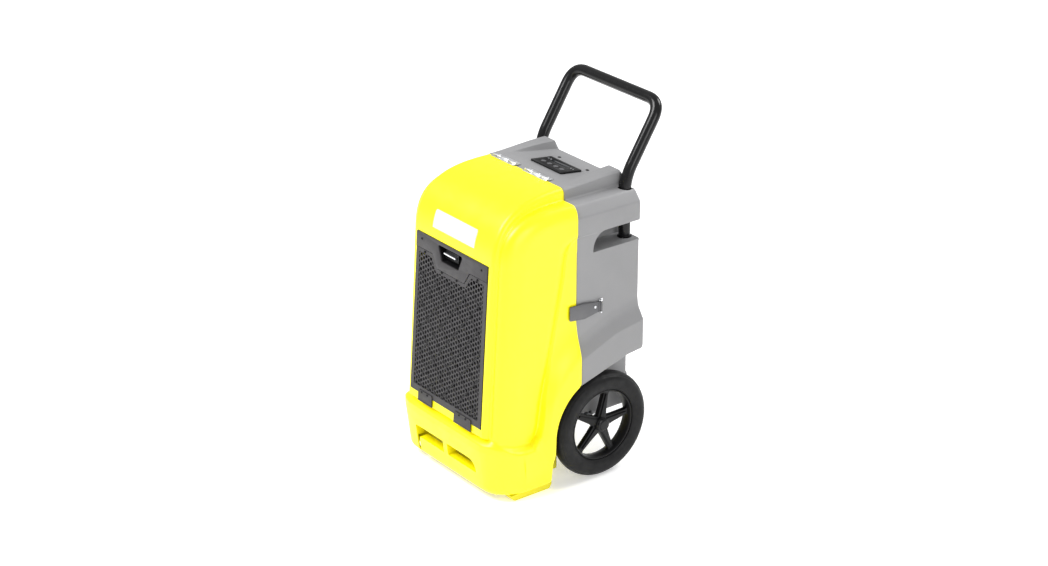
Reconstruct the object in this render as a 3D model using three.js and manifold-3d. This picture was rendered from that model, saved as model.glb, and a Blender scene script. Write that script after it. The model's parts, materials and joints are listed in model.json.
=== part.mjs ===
// Portable commercial dehumidifier on two wheels: yellow front cover, grey rear
// housing, black filter door, telescoping U handle and the refrigeration parts inside.
// Millimetres, +Z up, the front faces -Y, the origin is below the middle of the object.
import * as THREE from "three";
import { mergeVertices } from "three/addons/utils/BufferGeometryUtils.js";
import Module from "manifold-3d";

const wasm = await Module();
wasm.setup();

// ---------------------------------------------------------------- driving sizes
const GAP = 0.3; // clearance between pieces that touch
const WALL = 4; // moulded shell thickness

const WHEEL_R = 127; // 10 inch wheel
const WHEEL_X = 192; // middle plane of a wheel
const TYRE_HALF = 22; // half the tyre's width
const AXLE_Y = 45;
const AXLE_Z = WHEEL_R;
const AXLE_R = 8;

const SEAM_Y = -19.5; // plane where the cover meets the housing
const REAR_Y = 161; // back of the housing
const TOP_Z = 698.5; // top of the cover at the seam
const FAN_Z = 563; // the cover's face starts to curve back above this height
const BASE_Z = 15; // lower edge of the cover
const SIDE_HALF = 187; // flat side of the body
const SHOULDER_HALF = 190; // shoulder band along the top of the side
const FLARE_HALF = 209; // flares over the wheels
const WELL_HALF = 150; // inner wall of the wheel wells
const BELLY_Z = 124; // underside of the housing between the wheels

const DOOR_LEAN = THREE.MathUtils.degToRad(3.86);
const DOOR_FOOT = [-248.3, 177]; // y, z of the door's lower edge, on its face
const DOOR_HEIGHT = 386.5;
const DOOR_HALF_LOW = 135.2;
const DOOR_HALF_TOP = 132.6;

const HANDLE_HALF = 153.7; // from the middle to a leg's centre line
const HANDLE_R = 13.5;
const HANDLE_Y = 142;
const HANDLE_BEND_Z = 689;
const HANDLE_TOP_Z = 846;
const HANDLE_TOP_Y = 240.5;
const HANDLE_LOW_Z = 330;

const PANEL_TILT = Math.atan2(698 - 682, 143 - 15); // the deck falls towards the back

// ---------------------------------------------------------------- materials
const finish = (color, roughness, metalness) =>
  new THREE.MeshStandardMaterial({ color, roughness, metalness });
const YELLOW = finish(0xfdf21c, 0.35, 0);
const GREY = finish(0x8f8f91, 0.5, 0);
const DOOR_BLACK = finish(0x4c4a4c, 0.55, 0);
const GLOSS_BLACK = finish(0x17171a, 0.25, 0.1);
const PLASTIC_BLACK = finish(0x1c1c1e, 0.45, 0);
const RUBBER = finish(0x1a1a1a, 0.7, 0);
const STEEL = finish(0xc9cbce, 0.3, 0.9);
const DARK_STEEL = finish(0x5a5a5c, 0.4, 0.8);
const WHITE_PLATE = finish(0xf1f1f4, 0.3, 0.1);
const COPPER = finish(0xb8733a, 0.35, 0.9);
const ALUMINIUM = finish(0xb9bcc0, 0.45, 0.8);
const GALVANISED = finish(0x9da1a4, 0.5, 0.7);
const FOAM = finish(0x6d6f70, 0.9, 0);
const LENS = finish(0x101820, 0.15, 0);

// ---------------------------------------------------------------- solids
function toSolid(geometry) {
  const bare = geometry.clone();
  bare.deleteAttribute("normal");
  bare.deleteAttribute("uv");
  const merged = mergeVertices(bare, 1e-4);
  const index = merged.index.array;
  const kept = [];
  for (let i = 0; i < index.length; i += 3) {
    const [a, b, c] = [index[i], index[i + 1], index[i + 2]];
    if (a !== b && b !== c && c !== a) kept.push(a, b, c);
  }
  const vertProperties = new Float32Array(merged.attributes.position.array);
  const triVerts = new Uint32Array(kept);
  return new wasm.Manifold(new wasm.Mesh({ numProp: 3, vertProperties, triVerts }));
}

function toGeometry(solid) {
  const mesh = solid.getMesh();
  const geometry = new THREE.BufferGeometry();
  geometry.setAttribute("position", new THREE.BufferAttribute(mesh.vertProperties, 3));
  geometry.setIndex(new THREE.BufferAttribute(mesh.triVerts, 1));
  return geometry;
}

const join = (...solids) => solids.reduce((a, b) => a.add(b));
const cut = (solid, ...tools) => tools.reduce((a, b) => a.subtract(b), solid);

function block(x0, x1, y0, y1, z0, z1) {
  const geometry = new THREE.BoxGeometry(x1 - x0, y1 - y0, z1 - z0);
  geometry.translate((x0 + x1) / 2, (y0 + y1) / 2, (z0 + z1) / 2);
  return toSolid(geometry);
}

// A round bar from one point, along "x", "y" or "z".
function bar(axis, radius, length, x, y, z, sides = 24) {
  const geometry = new THREE.CylinderGeometry(radius, radius, length, sides);
  geometry.translate(0, length / 2, 0);
  if (axis === "x") geometry.rotateZ(-Math.PI / 2);
  if (axis === "z") geometry.rotateX(Math.PI / 2);
  geometry.translate(x, y, z);
  return toSolid(geometry);
}

const tube = (axis, outer, inner, length, x, y, z, sides = 24) => {
  const along = { x: [1, 0, 0], y: [0, 1, 0], z: [0, 0, 1] }[axis];
  const [dx, dy, dz] = along;
  const hole = bar(axis, inner, length + 2, x - dx, y - dy, z - dz, sides);
  return cut(bar(axis, outer, length, x, y, z, sides), hole);
};

// A prism: the outline's two numbers run along the two axes after `axis`, in x, y, z order.
function prism(axis, outline, from, to) {
  const shape = new THREE.Shape(outline.map(([a, b]) => new THREE.Vector2(a, b)));
  const settings = { depth: to - from, bevelEnabled: false, curveSegments: 8 };
  const geometry = new THREE.ExtrudeGeometry(shape, settings);
  geometry.translate(0, 0, from);
  if (axis === "x") {
    geometry.applyMatrix4(new THREE.Matrix4().set(0, 0, 1, 0, 1, 0, 0, 0, 0, 1, 0, 0, 0, 0, 0, 1));
  }
  if (axis === "y") {
    geometry.applyMatrix4(new THREE.Matrix4().set(1, 0, 0, 0, 0, 0, -1, 0, 0, 1, 0, 0, 0, 0, 0, 1));
    geometry.translate(0, from + to, 0);
  }
  return toSolid(geometry);
}

// A ring or disc turned about the X axis from a profile of [radius, x] pairs.
function turned(profile, sides = 48) {
  const points = profile.map(([r, x]) => new THREE.Vector2(r, x));
  const geometry = new THREE.LatheGeometry(points, sides);
  geometry.rotateZ(-Math.PI / 2);
  return toSolid(geometry);
}

function pipe(points, radius, sides = 10, steps = 30) {
  const path = new THREE.CatmullRomCurve3(points.map((p) => new THREE.Vector3(...p)));
  const circle = new THREE.Shape();
  for (let i = 0; i < sides; i += 1) {
    const a = (i / sides) * Math.PI * 2;
    if (i === 0) circle.moveTo(radius, 0);
    else circle.lineTo(radius * Math.cos(a), radius * Math.sin(a));
  }
  circle.closePath();
  return toSolid(new THREE.ExtrudeGeometry(circle, { steps, extrudePath: path }));
}

// Faces between neighbouring rows of a grid of points, wound one way or the other.
function gridFaces(rows, columns, at, flip) {
  const faces = [];
  for (let i = 0; i + 1 < rows; i += 1) {
    for (let j = 0; j + 1 < columns; j += 1) {
      const [a, b, c, d] = [at(i, j), at(i, j + 1), at(i + 1, j + 1), at(i + 1, j)];
      if (flip) faces.push(a, c, b, a, d, c);
      else faces.push(a, b, c, a, c, d);
    }
  }
  return faces;
}

function indexed(points, faces) {
  const geometry = new THREE.BufferGeometry();
  const flat = points.flatMap((p) => [p.x, p.y, p.z]);
  geometry.setAttribute("position", new THREE.Float32BufferAttribute(flat, 3));
  geometry.setIndex(faces);
  return geometry;
}

// Triangles over a ring's flat face, facing -Y or +Y.
function capFaces(ring, first, facesBack) {
  const flat = ring.map((p) => new THREE.Vector2(p.x, p.z));
  return THREE.ShapeUtils.triangulateShape(flat, []).flatMap(([a, b, c]) => {
    const area = THREE.ShapeUtils.area([flat[a], flat[b], flat[c]]);
    const turn = area > 0 === facesBack ? [a, c, b] : [a, b, c];
    return turn.map((k) => first + k);
  });
}

// A solid through closed rings of equal length, with flat ends. The rings step along +Y
// and run clockwise seen from -Y.
function loft(rings) {
  const count = rings[0].length;
  const faces = gridFaces(rings.length, count + 1, (i, j) => i * count + (j % count), false);
  faces.push(...capFaces(rings[0], 0, false));
  faces.push(...capFaces(rings.at(-1), (rings.length - 1) * count, true));
  return toSolid(indexed(rings.flat(), faces));
}

const smooth = (t) => {
  const c = Math.min(1, Math.max(0, t));
  return c * c * (3 - 2 * c);
};
const mix = (a, b, t) => a + (b - a) * t;

// ---------------------------------------------------------------- front cover
// The cover is a bent sheet. Stations run up its front and fan over the top to the seam;
// at each one, half a cross-section runs from the middle to the rear edge. A section's
// numbers are x, and the reach, the distance out from the seam plane's side edge.
const CROWN = new THREE.CubicBezierCurve(
  new THREE.Vector2(-220.3, FAN_Z),
  new THREE.Vector2(-213.8, 660),
  new THREE.Vector2(-159.5, 701.5),
  new THREE.Vector2(SEAM_Y, TOP_Z),
);
const SHOULDER = new THREE.CubicBezierCurve(
  new THREE.Vector2(-208, FAN_Z),
  new THREE.Vector2(-203, 650),
  new THREE.Vector2(-150, 680),
  new THREE.Vector2(SEAM_Y, 671),
);

// Distance from the fan's centre to a curve, at an angle up from the front.
function fanReach(curve, angle) {
  let [low, high] = [0, 1];
  for (let i = 0; i < 30; i += 1) {
    const middle = (low + high) / 2;
    const p = curve.getPoint(middle);
    if (Math.atan2(p.y - FAN_Z, SEAM_Y - p.x) < angle) low = middle;
    else high = middle;
  }
  const p = curve.getPoint(low);
  return Math.hypot(p.y - FAN_Z, SEAM_Y - p.x);
}

const LEDGE_Z = 121; // the base bulges out below this height
const PAD_FOOT_Z = 154; // lower edge of the raised face round the door
const ARCH_R = 135;

function rearEdge(z) {
  if (z >= 245) return SEAM_Y;
  if (z > AXLE_Z) return AXLE_Y - Math.sqrt(ARCH_R ** 2 - (z - AXLE_Z) ** 2);
  return mix(-94, -90, (z - BASE_Z) / (AXLE_Z - BASE_Z));
}

// Half-width of the side behind the moulded step: flat, then out to the wheel-arch lip.
function stripHalf(y, z) {
  const lip = 155 + 0.26 * (z - 165);
  const slope = 25 + 0.27 * Math.max(0, z - 235);
  const fromAxle = Math.hypot(y - AXLE_Y, z - AXLE_Z);
  const flare = smooth((lip + slope - fromAxle) / slope);
  const flat = mix(203, SIDE_HALF, smooth((z - 130) / 60));
  return mix(flat, FLARE_HALF, flare);
}

function frontStation(z) {
  const base = smooth((148 - z) / (148 - LEDGE_Z));
  const pad = z >= PAD_FOOT_Z
    ? SEAM_Y + 220.3 + Math.tan(DOOR_LEAN) * (FAN_Z - z)
    : mix(221, 234.5, Math.min(1, (z - BASE_Z) / 110));
  const valley = mix(SEAM_Y + 208 + 0.058 * (FAN_Z - z), pad, base);
  const stepY = mix(-52, -118, (530 - z) / (530 - 166));
  return {
    y: SEAM_Y,
    z,
    out: [-1, 0],
    pad,
    padHalf: mix(150, 112, smooth((158 - z) / 8)),
    valley,
    flatHalf: mix(154, 126, base),
    columnHalf: mix(183, mix(197, 203, (z - BASE_Z) / 110), base),
    columnReach: valley - mix(55, 77, base),
    stepReach: Math.min(SEAM_Y - stepY, valley - mix(70, 90, base)),
    endReach: SEAM_Y - rearEdge(z),
  };
}

function fanStation(angle) {
  const turn = angle / (Math.PI / 2);
  const valley = fanReach(SHOULDER, angle);
  return {
    y: SEAM_Y,
    z: FAN_Z,
    out: [-Math.cos(angle), Math.sin(angle)],
    pad: fanReach(CROWN, angle),
    padHalf: mix(150, 138.5, smooth(turn)),
    valley,
    flatHalf: mix(154, 172, turn * turn),
    columnHalf: mix(183, SHOULDER_HALF, turn),
    columnReach: valley - mix(55, 34, turn),
    stepReach: mix(30, 34, turn),
    endReach: 0,
  };
}

function coverRow(station) {
  const { pad, padHalf, valley, flatHalf, columnHalf, columnReach, stepReach, endReach } = station;
  const point = (x, reach) => {
    const y = station.y + station.out[0] * reach;
    const z = station.z + station.out[1] * reach;
    return new THREE.Vector3(x, y, z);
  };
  const onStrip = (reach) => {
    const p = point(0, reach);
    return point(stripHalf(p.y, p.z), reach);
  };
  const row = [point(0, pad), point(padHalf - 9, pad), point(padHalf, pad - 5)];
  row.push(point(padHalf + 3, valley), point(flatHalf + 1, valley));
  const bend = 5;
  for (let i = 1; i <= bend; i += 1) {
    const a = (i / bend) * (Math.PI / 2);
    const x = mix(flatHalf, columnHalf, Math.sin(a));
    row.push(point(x, mix(columnReach, valley, Math.cos(a))));
  }
  const step = Math.max(stepReach, endReach + 6);
  row.push(point(columnHalf, step + 4), onStrip(step));
  row.push(onStrip(mix(step, endReach, 0.5)), onStrip(endReach));
  return row;
}

function coverShell() {
  const low = [BASE_Z, 40, 80, LEDGE_Z, 134, 148, 153, 158, 190];
  const heights = [...low, 220, 245, 275, 309, 350, 420, 490, FAN_Z];
  const stations = heights.map(frontStation);
  const fans = 10;
  for (let i = 1; i <= fans; i += 1) stations.push(fanStation((i / fans) * (Math.PI / 2)));
  const rows = stations.map((s) => {
    const half = coverRow(s);
    const other = half.slice(1).map((p) => new THREE.Vector3(-p.x, p.y, p.z)).reverse();
    return [...other, ...half];
  });
  const columns = rows[0].length;
  const surface = indexed(rows.flat(), gridFaces(rows.length, columns, (i, j) => i * columns + j, false));
  surface.computeVertexNormals();
  const normals = surface.attributes.normal;
  const outer = rows.flat();
  const inner = outer.map((p, k) => {
    const n = new THREE.Vector3().fromBufferAttribute(normals, k);
    return p.clone().addScaledVector(n, -WALL);
  });
  const last = columns - 1;
  // The rim stays in the seam plane, and the fan's centre is one point for all stations.
  rows.forEach((row, i) => {
    for (const j of [0, last]) {
      const k = i * columns + j;
      inner[k].set(row[j].x - Math.sign(row[j].x) * WALL, row[j].y, row[j].z);
    }
  });
  const top = (rows.length - 1) * columns;
  for (let j = 1; j < last; j += 1) inner[top + j].y = SEAM_Y;
  for (let j = 1; j < last; j += 1) inner[j].z = BASE_Z;
  const size = outer.length;
  const faces = gridFaces(rows.length, columns, (i, j) => i * columns + j, false);
  faces.push(...gridFaces(rows.length, columns, (i, j) => size + i * columns + j, true));
  const rim = (a, b) => faces.push(a, size + b, b, a, size + a, size + b);
  for (let j = 0; j < last; j += 1) {
    rim(j, j + 1);
    rim(top + j + 1, top + j);
  }
  for (let i = 0; i + 1 < rows.length; i += 1) {
    rim((i + 1) * columns, i * columns);
    rim(i * columns + last, (i + 1) * columns + last);
  }
  return indexed([...outer, ...inner], faces);
}

// ---------------------------------------------------------------- scene
const root = new THREE.Group();
root.name = "dehumidifier";

function add(name, solid, material, parent = root) {
  const mesh = new THREE.Mesh(toGeometry(solid), material.clone());
  mesh.name = name;
  parent.add(mesh);
  return mesh;
}
const SIDES = [["left", -1], ["right", 1]];

// The door's own frame: X across, Z up the door, Y into the machine, origin at the
// middle of its lower edge, on its face.
const door = new THREE.Group();
door.position.set(0, ...DOOR_FOOT);
door.rotation.x = -DOOR_LEAN;
door.updateMatrix();
root.add(door);
const inDoorFrame = (solid) => {
  const geometry = toGeometry(solid);
  geometry.applyMatrix4(door.matrix);
  return toSolid(geometry);
};

// Door opening through the raised face.
const opening = [
  [-DOOR_HALF_LOW - 1.2, -1.4],
  [DOOR_HALF_LOW + 1.2, -1.4],
  [DOOR_HALF_TOP + 1.2, DOOR_HEIGHT + 1.4],
  [-DOOR_HALF_TOP - 1.2, DOOR_HEIGHT + 1.4],
];
const doorHole = inDoorFrame(prism("y", opening, -12, 40));

// Two grab windows low in the front; the right one has a rounded top corner.
const WINDOW_LOW = 60;
const WINDOW_TOP = 90;
const windowLeft = block(-115, -7.7, -262, -225, WINDOW_LOW, WINDOW_TOP);
const arc = new THREE.EllipseCurve(91, 66, 24, 24, 0, Math.PI / 2).getPoints(6);
const windowRight = prism(
  "y",
  [[7.7, WINDOW_LOW], [115, WINDOW_LOW], ...arc.map((p) => [p.x, p.y]), [7.7, WINDOW_TOP]],
  -262,
  -225,
);
const notch = block(-115, -104, -262, -243, BASE_Z - 5, WINDOW_LOW + 1);
const cover = cut(toSolid(coverShell()), doorHole, windowLeft, windowRight, notch);
add("front_cover", cover, YELLOW);

// Blank name plate, flat on the curve above the door.
const plate = new THREE.Group();
plate.position.set(0, -216.2, 606);
plate.rotation.x = -THREE.MathUtils.degToRad(18);
root.add(plate);
add("name_plate", block(-78, 78, -1.2, 0.6, -23, 23), WHITE_PLATE, plate);

// ---------------------------------------------------------------- filter door
const HEADER_SIDE = DOOR_HEIGHT - 36.4;
const HEADER_TONGUE = DOOR_HEIGHT - 66;
const doorHalf = (z) => mix(DOOR_HALF_LOW, DOOR_HALF_TOP, z / DOOR_HEIGHT);
// The header's lower edge, from left to right, with its tongue round the latch pocket.
const headerEdge = (drop) => [
  [-doorHalf(HEADER_SIDE), HEADER_SIDE - drop],
  [-69 - drop * 0.4, HEADER_SIDE - drop],
  [-51 - drop * 0.4, HEADER_TONGUE - drop],
  [51 + drop * 0.4, HEADER_TONGUE - drop],
  [69 + drop * 0.4, HEADER_SIDE - drop],
  [doorHalf(HEADER_SIDE), HEADER_SIDE - drop],
];
const headerOutline = [...headerEdge(0), [DOOR_HALF_TOP, DOOR_HEIGHT], [-DOOR_HALF_TOP, DOOR_HEIGHT]];
const POCKET_TOP = DOOR_HEIGHT - 8;
const POCKET_LOW = DOOR_HEIGHT - 44;
const pocket = (grow) => [
  [-32 - grow, POCKET_LOW - grow],
  [32 + grow, POCKET_LOW - grow],
  [45 + grow, POCKET_TOP + grow],
  [-45 - grow, POCKET_TOP + grow],
];
const cup = cut(prism("y", pocket(2.5), 1, 24), prism("y", pocket(0), -3, 21.5));
const headerPlate = cut(prism("y", headerOutline, -1, 3), prism("y", pocket(0), -3, 21.5));
add("door_header", join(headerPlate, cup), DOOR_BLACK, door);

const grilleOutline = [
  [-DOOR_HALF_LOW, 0],
  [DOOR_HALF_LOW, 0],
  ...headerEdge(GAP).reverse(),
];
add("door_grille", prism("y", grilleOutline, 0, 3), DOOR_BLACK, door);
add("door_filter", block(-122, 122, 4, 17, 10, 312), FOAM, door);
add(
  "door_latch",
  join(block(-30, 30, 4, 7, 352, 366), block(-22, 22, 3, 19, 364, 367)),
  DARK_STEEL,
  door,
);

// Hinge tabs across the door's foot, each rolled round the hinge line at its lower edge.
const TAB_ROLL_Z = -17;
for (const [side, x0, x1] of [["left", -101, -48], ["right", 38, 101]]) {
  const leaf = block(x0, x1, -2.3, -GAP, TAB_ROLL_Z, 9);
  const roll = bar("x", 2, x1 - x0, x0, -1, TAB_ROLL_Z, 12);
  add(`door_tab_${side}`, join(leaf, roll), DOOR_BLACK, door);
}

// ---------------------------------------------------------------- rear housing
const DECK_RAMP_Y = 15;
const deckZ = (y) => 698 - Math.tan(PANEL_TILT) * Math.max(0, y - DECK_RAMP_Y);
const railZ = (y) => mix(698, 706.5, smooth((y - SEAM_Y) / 140));
// A height that climbs from the seam to `kneeY`, then more gently to the rear.
const kneed = (kneeY, seamZ, kneeZ, rearZ) => (y) => {
  if (y < kneeY) return mix(seamZ, kneeZ, (y - SEAM_Y) / (kneeY - SEAM_Y));
  return mix(kneeZ, rearZ, (y - kneeY) / (REAR_Y - kneeY));
};
const ridgeZ = kneed(80, 308, 348, 362);
const flareLowZ = kneed(115, 243, 283, 288);

// Half of the housing's cross-section at y, as x, z pairs from the deck down to the belly.
// `cap` limits its height, and `inset` draws it in from the outer surface.
function housingHalf(y, cap, inset) {
  const foot = mix(107, 85, Math.max(0, y - DECK_RAMP_Y) / 128);
  const ridge = ridgeZ(y);
  const low = flareLowZ(y);
  const i = inset;
  const outline = [
    [foot - i * 0.6, deckZ(y) - i],
    [110 - i * 0.3, railZ(y) - i],
    [135 - i * 0.4, railZ(y) - i],
    [139.5 - i, railZ(y) - 4 - i * 0.5],
    [141 - i, 671 - i],
    [172 - i * 0.4, 667 - i],
    [SHOULDER_HALF - i, 642 - i * 0.4],
    [SHOULDER_HALF - i, 599 + i * 0.4],
    [SIDE_HALF - i, 595],
    [SIDE_HALF - i, ridge + 45],
    [SIDE_HALF + 4 - i, ridge + 26 - i * 0.5],
    [FLARE_HALF - i, ridge - i * 0.5],
    [FLARE_HALF - i, low + i],
    [WELL_HALF - i, low + i],
    [WELL_HALF - i, BELLY_Z + i],
  ];
  return outline.map(([x, z]) => [x, Math.min(z, cap)]);
}

function housingRing(y, cap, inset) {
  const half = housingHalf(y, cap, inset);
  const right = half.map(([x, z]) => new THREE.Vector3(x, y, z));
  const left = half.map(([x, z]) => new THREE.Vector3(-x, y, z)).reverse();
  return [...right, ...left];
}

const outside = loft([
  housingRing(SEAM_Y + GAP, 999, 0),
  housingRing(DECK_RAMP_Y, 999, 0),
  housingRing(80, 999, 0),
  housingRing(115, 999, 0),
  housingRing(139, 999, 0),
  housingRing(149, 682, 0),
  housingRing(157, 664, 1),
  housingRing(REAR_Y, 652, 5),
]);
const inside = loft([
  housingRing(SEAM_Y - 2, 999, WALL),
  housingRing(DECK_RAMP_Y, 999, WALL),
  housingRing(80, 999, WALL),
  housingRing(115, 999, WALL),
  housingRing(137, 999, WALL),
  housingRing(147, 677, WALL),
  housingRing(REAR_Y - WALL, 655, WALL + 1),
]);
// Finger pocket through each side, open at the side and the back.
const POCKET_FLOOR = 551;
const POCKET_ROOF = 598;
const POCKET_INNER = 128;
const POCKET_HIGH = POCKET_ROOF - POCKET_FLOOR;
const pocketEnd = new THREE.EllipseCurve(68, POCKET_FLOOR, 42, POCKET_HIGH, Math.PI, Math.PI / 2, true);
const fingerPocket = (grow) => [
  ...pocketEnd.getPoints(6).map((p) => [p.x - grow, p.y + (p.y > POCKET_FLOOR + 1 ? grow : -grow)]),
  [REAR_Y + 4 + grow, POCKET_ROOF + grow],
  [REAR_Y + 4 + grow, POCKET_FLOOR - grow],
];
const AXLE_SADDLE_Z = 138;
let housing = cut(outside, inside);
const axleArch = block(
  -WELL_HALF + 1, WELL_HALF - 1, AXLE_Y - 17, AXLE_Y + 17, BELLY_Z + 1, AXLE_SADDLE_Z + 4,
);
housing = join(housing, axleArch);
housing = cut(housing, block(-300, 300, AXLE_Y - 12, AXLE_Y + 12, 100, AXLE_SADDLE_Z));
for (const [, s] of SIDES) {
  const [a, b] = [s * POCKET_INNER, s * 200].sort((p, q) => p - q);
  const [c, d] = [s * (POCKET_INNER - 4), s * (SIDE_HALF - 1)].sort((p, q) => p - q);
  const bulk = prism("x", fingerPocket(WALL).map(([y, z]) => [Math.min(y, REAR_Y - 3), z]), c, d);
  housing = join(housing, bulk);
  housing = cut(housing, prism("x", fingerPocket(0), a, b));
  housing = cut(housing, bar("z", 17, 170, s * HANDLE_HALF, HANDLE_Y, POCKET_FLOOR - 60, 24));
  housing = cut(housing, bar("z", 14.4, 80, s * HANDLE_HALF, HANDLE_Y, POCKET_ROOF + 40, 24));
}
// Air outlet in the back, a louvred grille fills it.
const OUTLET = { half: 110, low: 330, top: 540 };
housing = cut(housing, block(-OUTLET.half, OUTLET.half, REAR_Y - 12, REAR_Y + 5, OUTLET.low, OUTLET.top));
// Holes for the mains inlet and the drain fitting.
housing = cut(housing, block(-126, -98, REAR_Y - 12, REAR_Y + 5, 219, 243));
housing = cut(housing, bar("y", 11, 20, 112, REAR_Y - 12, 180, 20));
add("rear_housing", housing, GREY);

// ---------------------------------------------------------------- base
const PAN_FRONT = -210;
const PAN_HALF = 164;
const PAN_STEP_Y = -104; // behind this the pan is narrower, well clear of the tyres
const PAN_REAR_HALF = 140;
const panBody = (wall, low, top) => join(
  block(-PAN_HALF + wall, PAN_HALF - wall, PAN_FRONT + wall, PAN_STEP_Y - wall, low, top),
  block(-PAN_REAR_HALF + wall, PAN_REAR_HALF - wall, PAN_STEP_Y - 12, -36 - wall, low, top),
);
const panShell = cut(panBody(0, BASE_Z, 60), panBody(3, BASE_Z + 3, 70));
const panBack = block(-140, 140, -39, -36, BASE_Z, BELLY_Z - GAP);
const panFlange = block(-140, 140, -39, 12, BELLY_Z - GAP - 3, BELLY_Z - GAP);
add("base_pan", join(panShell, panBack, panFlange), YELLOW);
const footOutline = [[-214, 0], [-92, 0], [-86, 10], [-86, BASE_Z - GAP], [-218, BASE_Z - GAP], [-218, 6]];
for (const [side, s] of SIDES) {
  const [x0, x1] = [s * 150, s * 186].sort((p, q) => p - q);
  add(`foot_${side}`, prism("x", footOutline, x0, x1), YELLOW);
}

// ---------------------------------------------------------------- axle and wheels
const AXLE_HALF = 207;
add("axle", bar("x", AXLE_R, AXLE_HALF * 2, -AXLE_HALF, AXLE_Y, AXLE_Z), STEEL);
for (const [side, s] of SIDES) {
  const [x0, x1] = [s * 118, s * 142].sort((p, q) => p - q);
  const strap = block(x0, x1, AXLE_Y - 30, AXLE_Y + 40, BELLY_Z - 3.3, BELLY_Z - GAP);
  const saddle = bar("x", 12, x1 - x0, x0, AXLE_Y, AXLE_Z);
  const under = block(x0, x1, AXLE_Y - 11, AXLE_Y + 11, AXLE_SADDLE_Z - 2, 150);
  const bore = bar("x", AXLE_R + 0.4, 60, x0 - 10, AXLE_Y, AXLE_Z);
  const clip = cut(saddle, block(x0 - 1, x1 + 1, AXLE_Y - 20, AXLE_Y + 20, AXLE_SADDLE_Z - GAP, 160));
  const behind = block(x0 - 1, x1 + 1, AXLE_Y + 11.6, AXLE_Y + 20, BELLY_Z - GAP, 160);
  const before = block(x0 - 1, x1 + 1, AXLE_Y - 20, AXLE_Y - 11.6, BELLY_Z - GAP, 160);
  add(`axle_bracket_${side}`, cut(join(strap, cut(clip, behind, before)), bore, under), GALVANISED);
}

const RIM_R = 86; // the tyre sits on this radius
const tyreProfile = [
  [RIM_R + GAP, -16],
  [100, -TYRE_HALF],
  [113, -TYRE_HALF + 0.5],
  [122, -15],
  [WHEEL_R - 0.6, -7],
  [WHEEL_R, 0],
  [WHEEL_R - 0.6, 7],
  [122, 15],
  [113, TYRE_HALF - 0.5],
  [100, TYRE_HALF],
  [RIM_R + GAP, 16],
  [RIM_R + GAP, -16],
];
const HUB_R = 17;
const HUB_HALF = 14.5;
const SPOKES = 5;
const FIRST_SPOKE = THREE.MathUtils.degToRad(78);

function rimSolid() {
  const ring = turned([[78, -9], [RIM_R, -13], [RIM_R, 13], [78, 9], [78, -9]], 40);
  const hub = bar("x", HUB_R, HUB_HALF * 2, -HUB_HALF, 0, 0, 24);
  let rim = join(ring, hub);
  for (let k = 0; k < SPOKES; k += 1) {
    const spoke = prism("x", [[8, -11], [80, -6], [80, 6], [8, 11]], -5, 6);
    const geometry = toGeometry(spoke);
    geometry.rotateX(FIRST_SPOKE + (k / SPOKES) * Math.PI * 2);
    rim = join(rim, toSolid(geometry));
  }
  return cut(rim, bar("x", AXLE_R + 0.5, 60, -30, 0, 0, 24));
}

for (const [side, s] of SIDES) {
  const wheel = new THREE.Group();
  wheel.position.set(s * WHEEL_X, AXLE_Y, AXLE_Z);
  wheel.rotation.z = s < 0 ? Math.PI : 0;
  root.add(wheel);
  add(`tyre_${side}`, turned(tyreProfile, 56), RUBBER, wheel);
  add(`rim_${side}`, rimSolid(), PLASTIC_BLACK, wheel);
  const capStart = HUB_HALF + GAP;
  const cap = join(bar("x", 16, 3, capStart, 0, 0, 24), bar("x", 11, 6.4, capStart, 0, 0, 24));
  add(`hub_cap_${side}`, cut(cap, bar("x", 9, 4.4, capStart - 1, 0, 0, 24)), GLOSS_BLACK, wheel);
}

// ---------------------------------------------------------------- handle
const vector = (x, y, z) => new THREE.Vector3(x, y, z);
const BEND_R = 34; // run-in of the bend above the shoulder
const CORNER_R = 44; // run-in of the U's corners
const lean = vector(0, HANDLE_TOP_Y - HANDLE_Y, HANDLE_TOP_Z - HANDLE_BEND_Z).normalize();
function handlePath() {
  const path = new THREE.CurvePath();
  const ends = (s) => {
    const low = vector(s * HANDLE_HALF, HANDLE_Y, HANDLE_LOW_Z);
    const bend = vector(s * HANDLE_HALF, HANDLE_Y, HANDLE_BEND_Z);
    const corner = vector(s * HANDLE_HALF, HANDLE_TOP_Y, HANDLE_TOP_Z);
    const before = bend.clone().add(vector(0, 0, -BEND_R));
    const after = bend.clone().addScaledVector(lean, BEND_R);
    const below = corner.clone().addScaledVector(lean, -CORNER_R);
    const beside = corner.clone().add(vector(-s * CORNER_R, 0, 0));
    return { low, bend, corner, before, after, below, beside };
  };
  const [left, right] = [ends(-1), ends(1)];
  path.add(new THREE.LineCurve3(left.low, left.before));
  path.add(new THREE.QuadraticBezierCurve3(left.before, left.bend, left.after));
  path.add(new THREE.LineCurve3(left.after, left.below));
  path.add(new THREE.QuadraticBezierCurve3(left.below, left.corner, left.beside));
  path.add(new THREE.LineCurve3(left.beside, right.beside));
  path.add(new THREE.QuadraticBezierCurve3(right.beside, right.corner, right.below));
  path.add(new THREE.LineCurve3(right.below, right.after));
  path.add(new THREE.QuadraticBezierCurve3(right.after, right.bend, right.before));
  path.add(new THREE.LineCurve3(right.before, right.low));
  return path;
}
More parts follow.
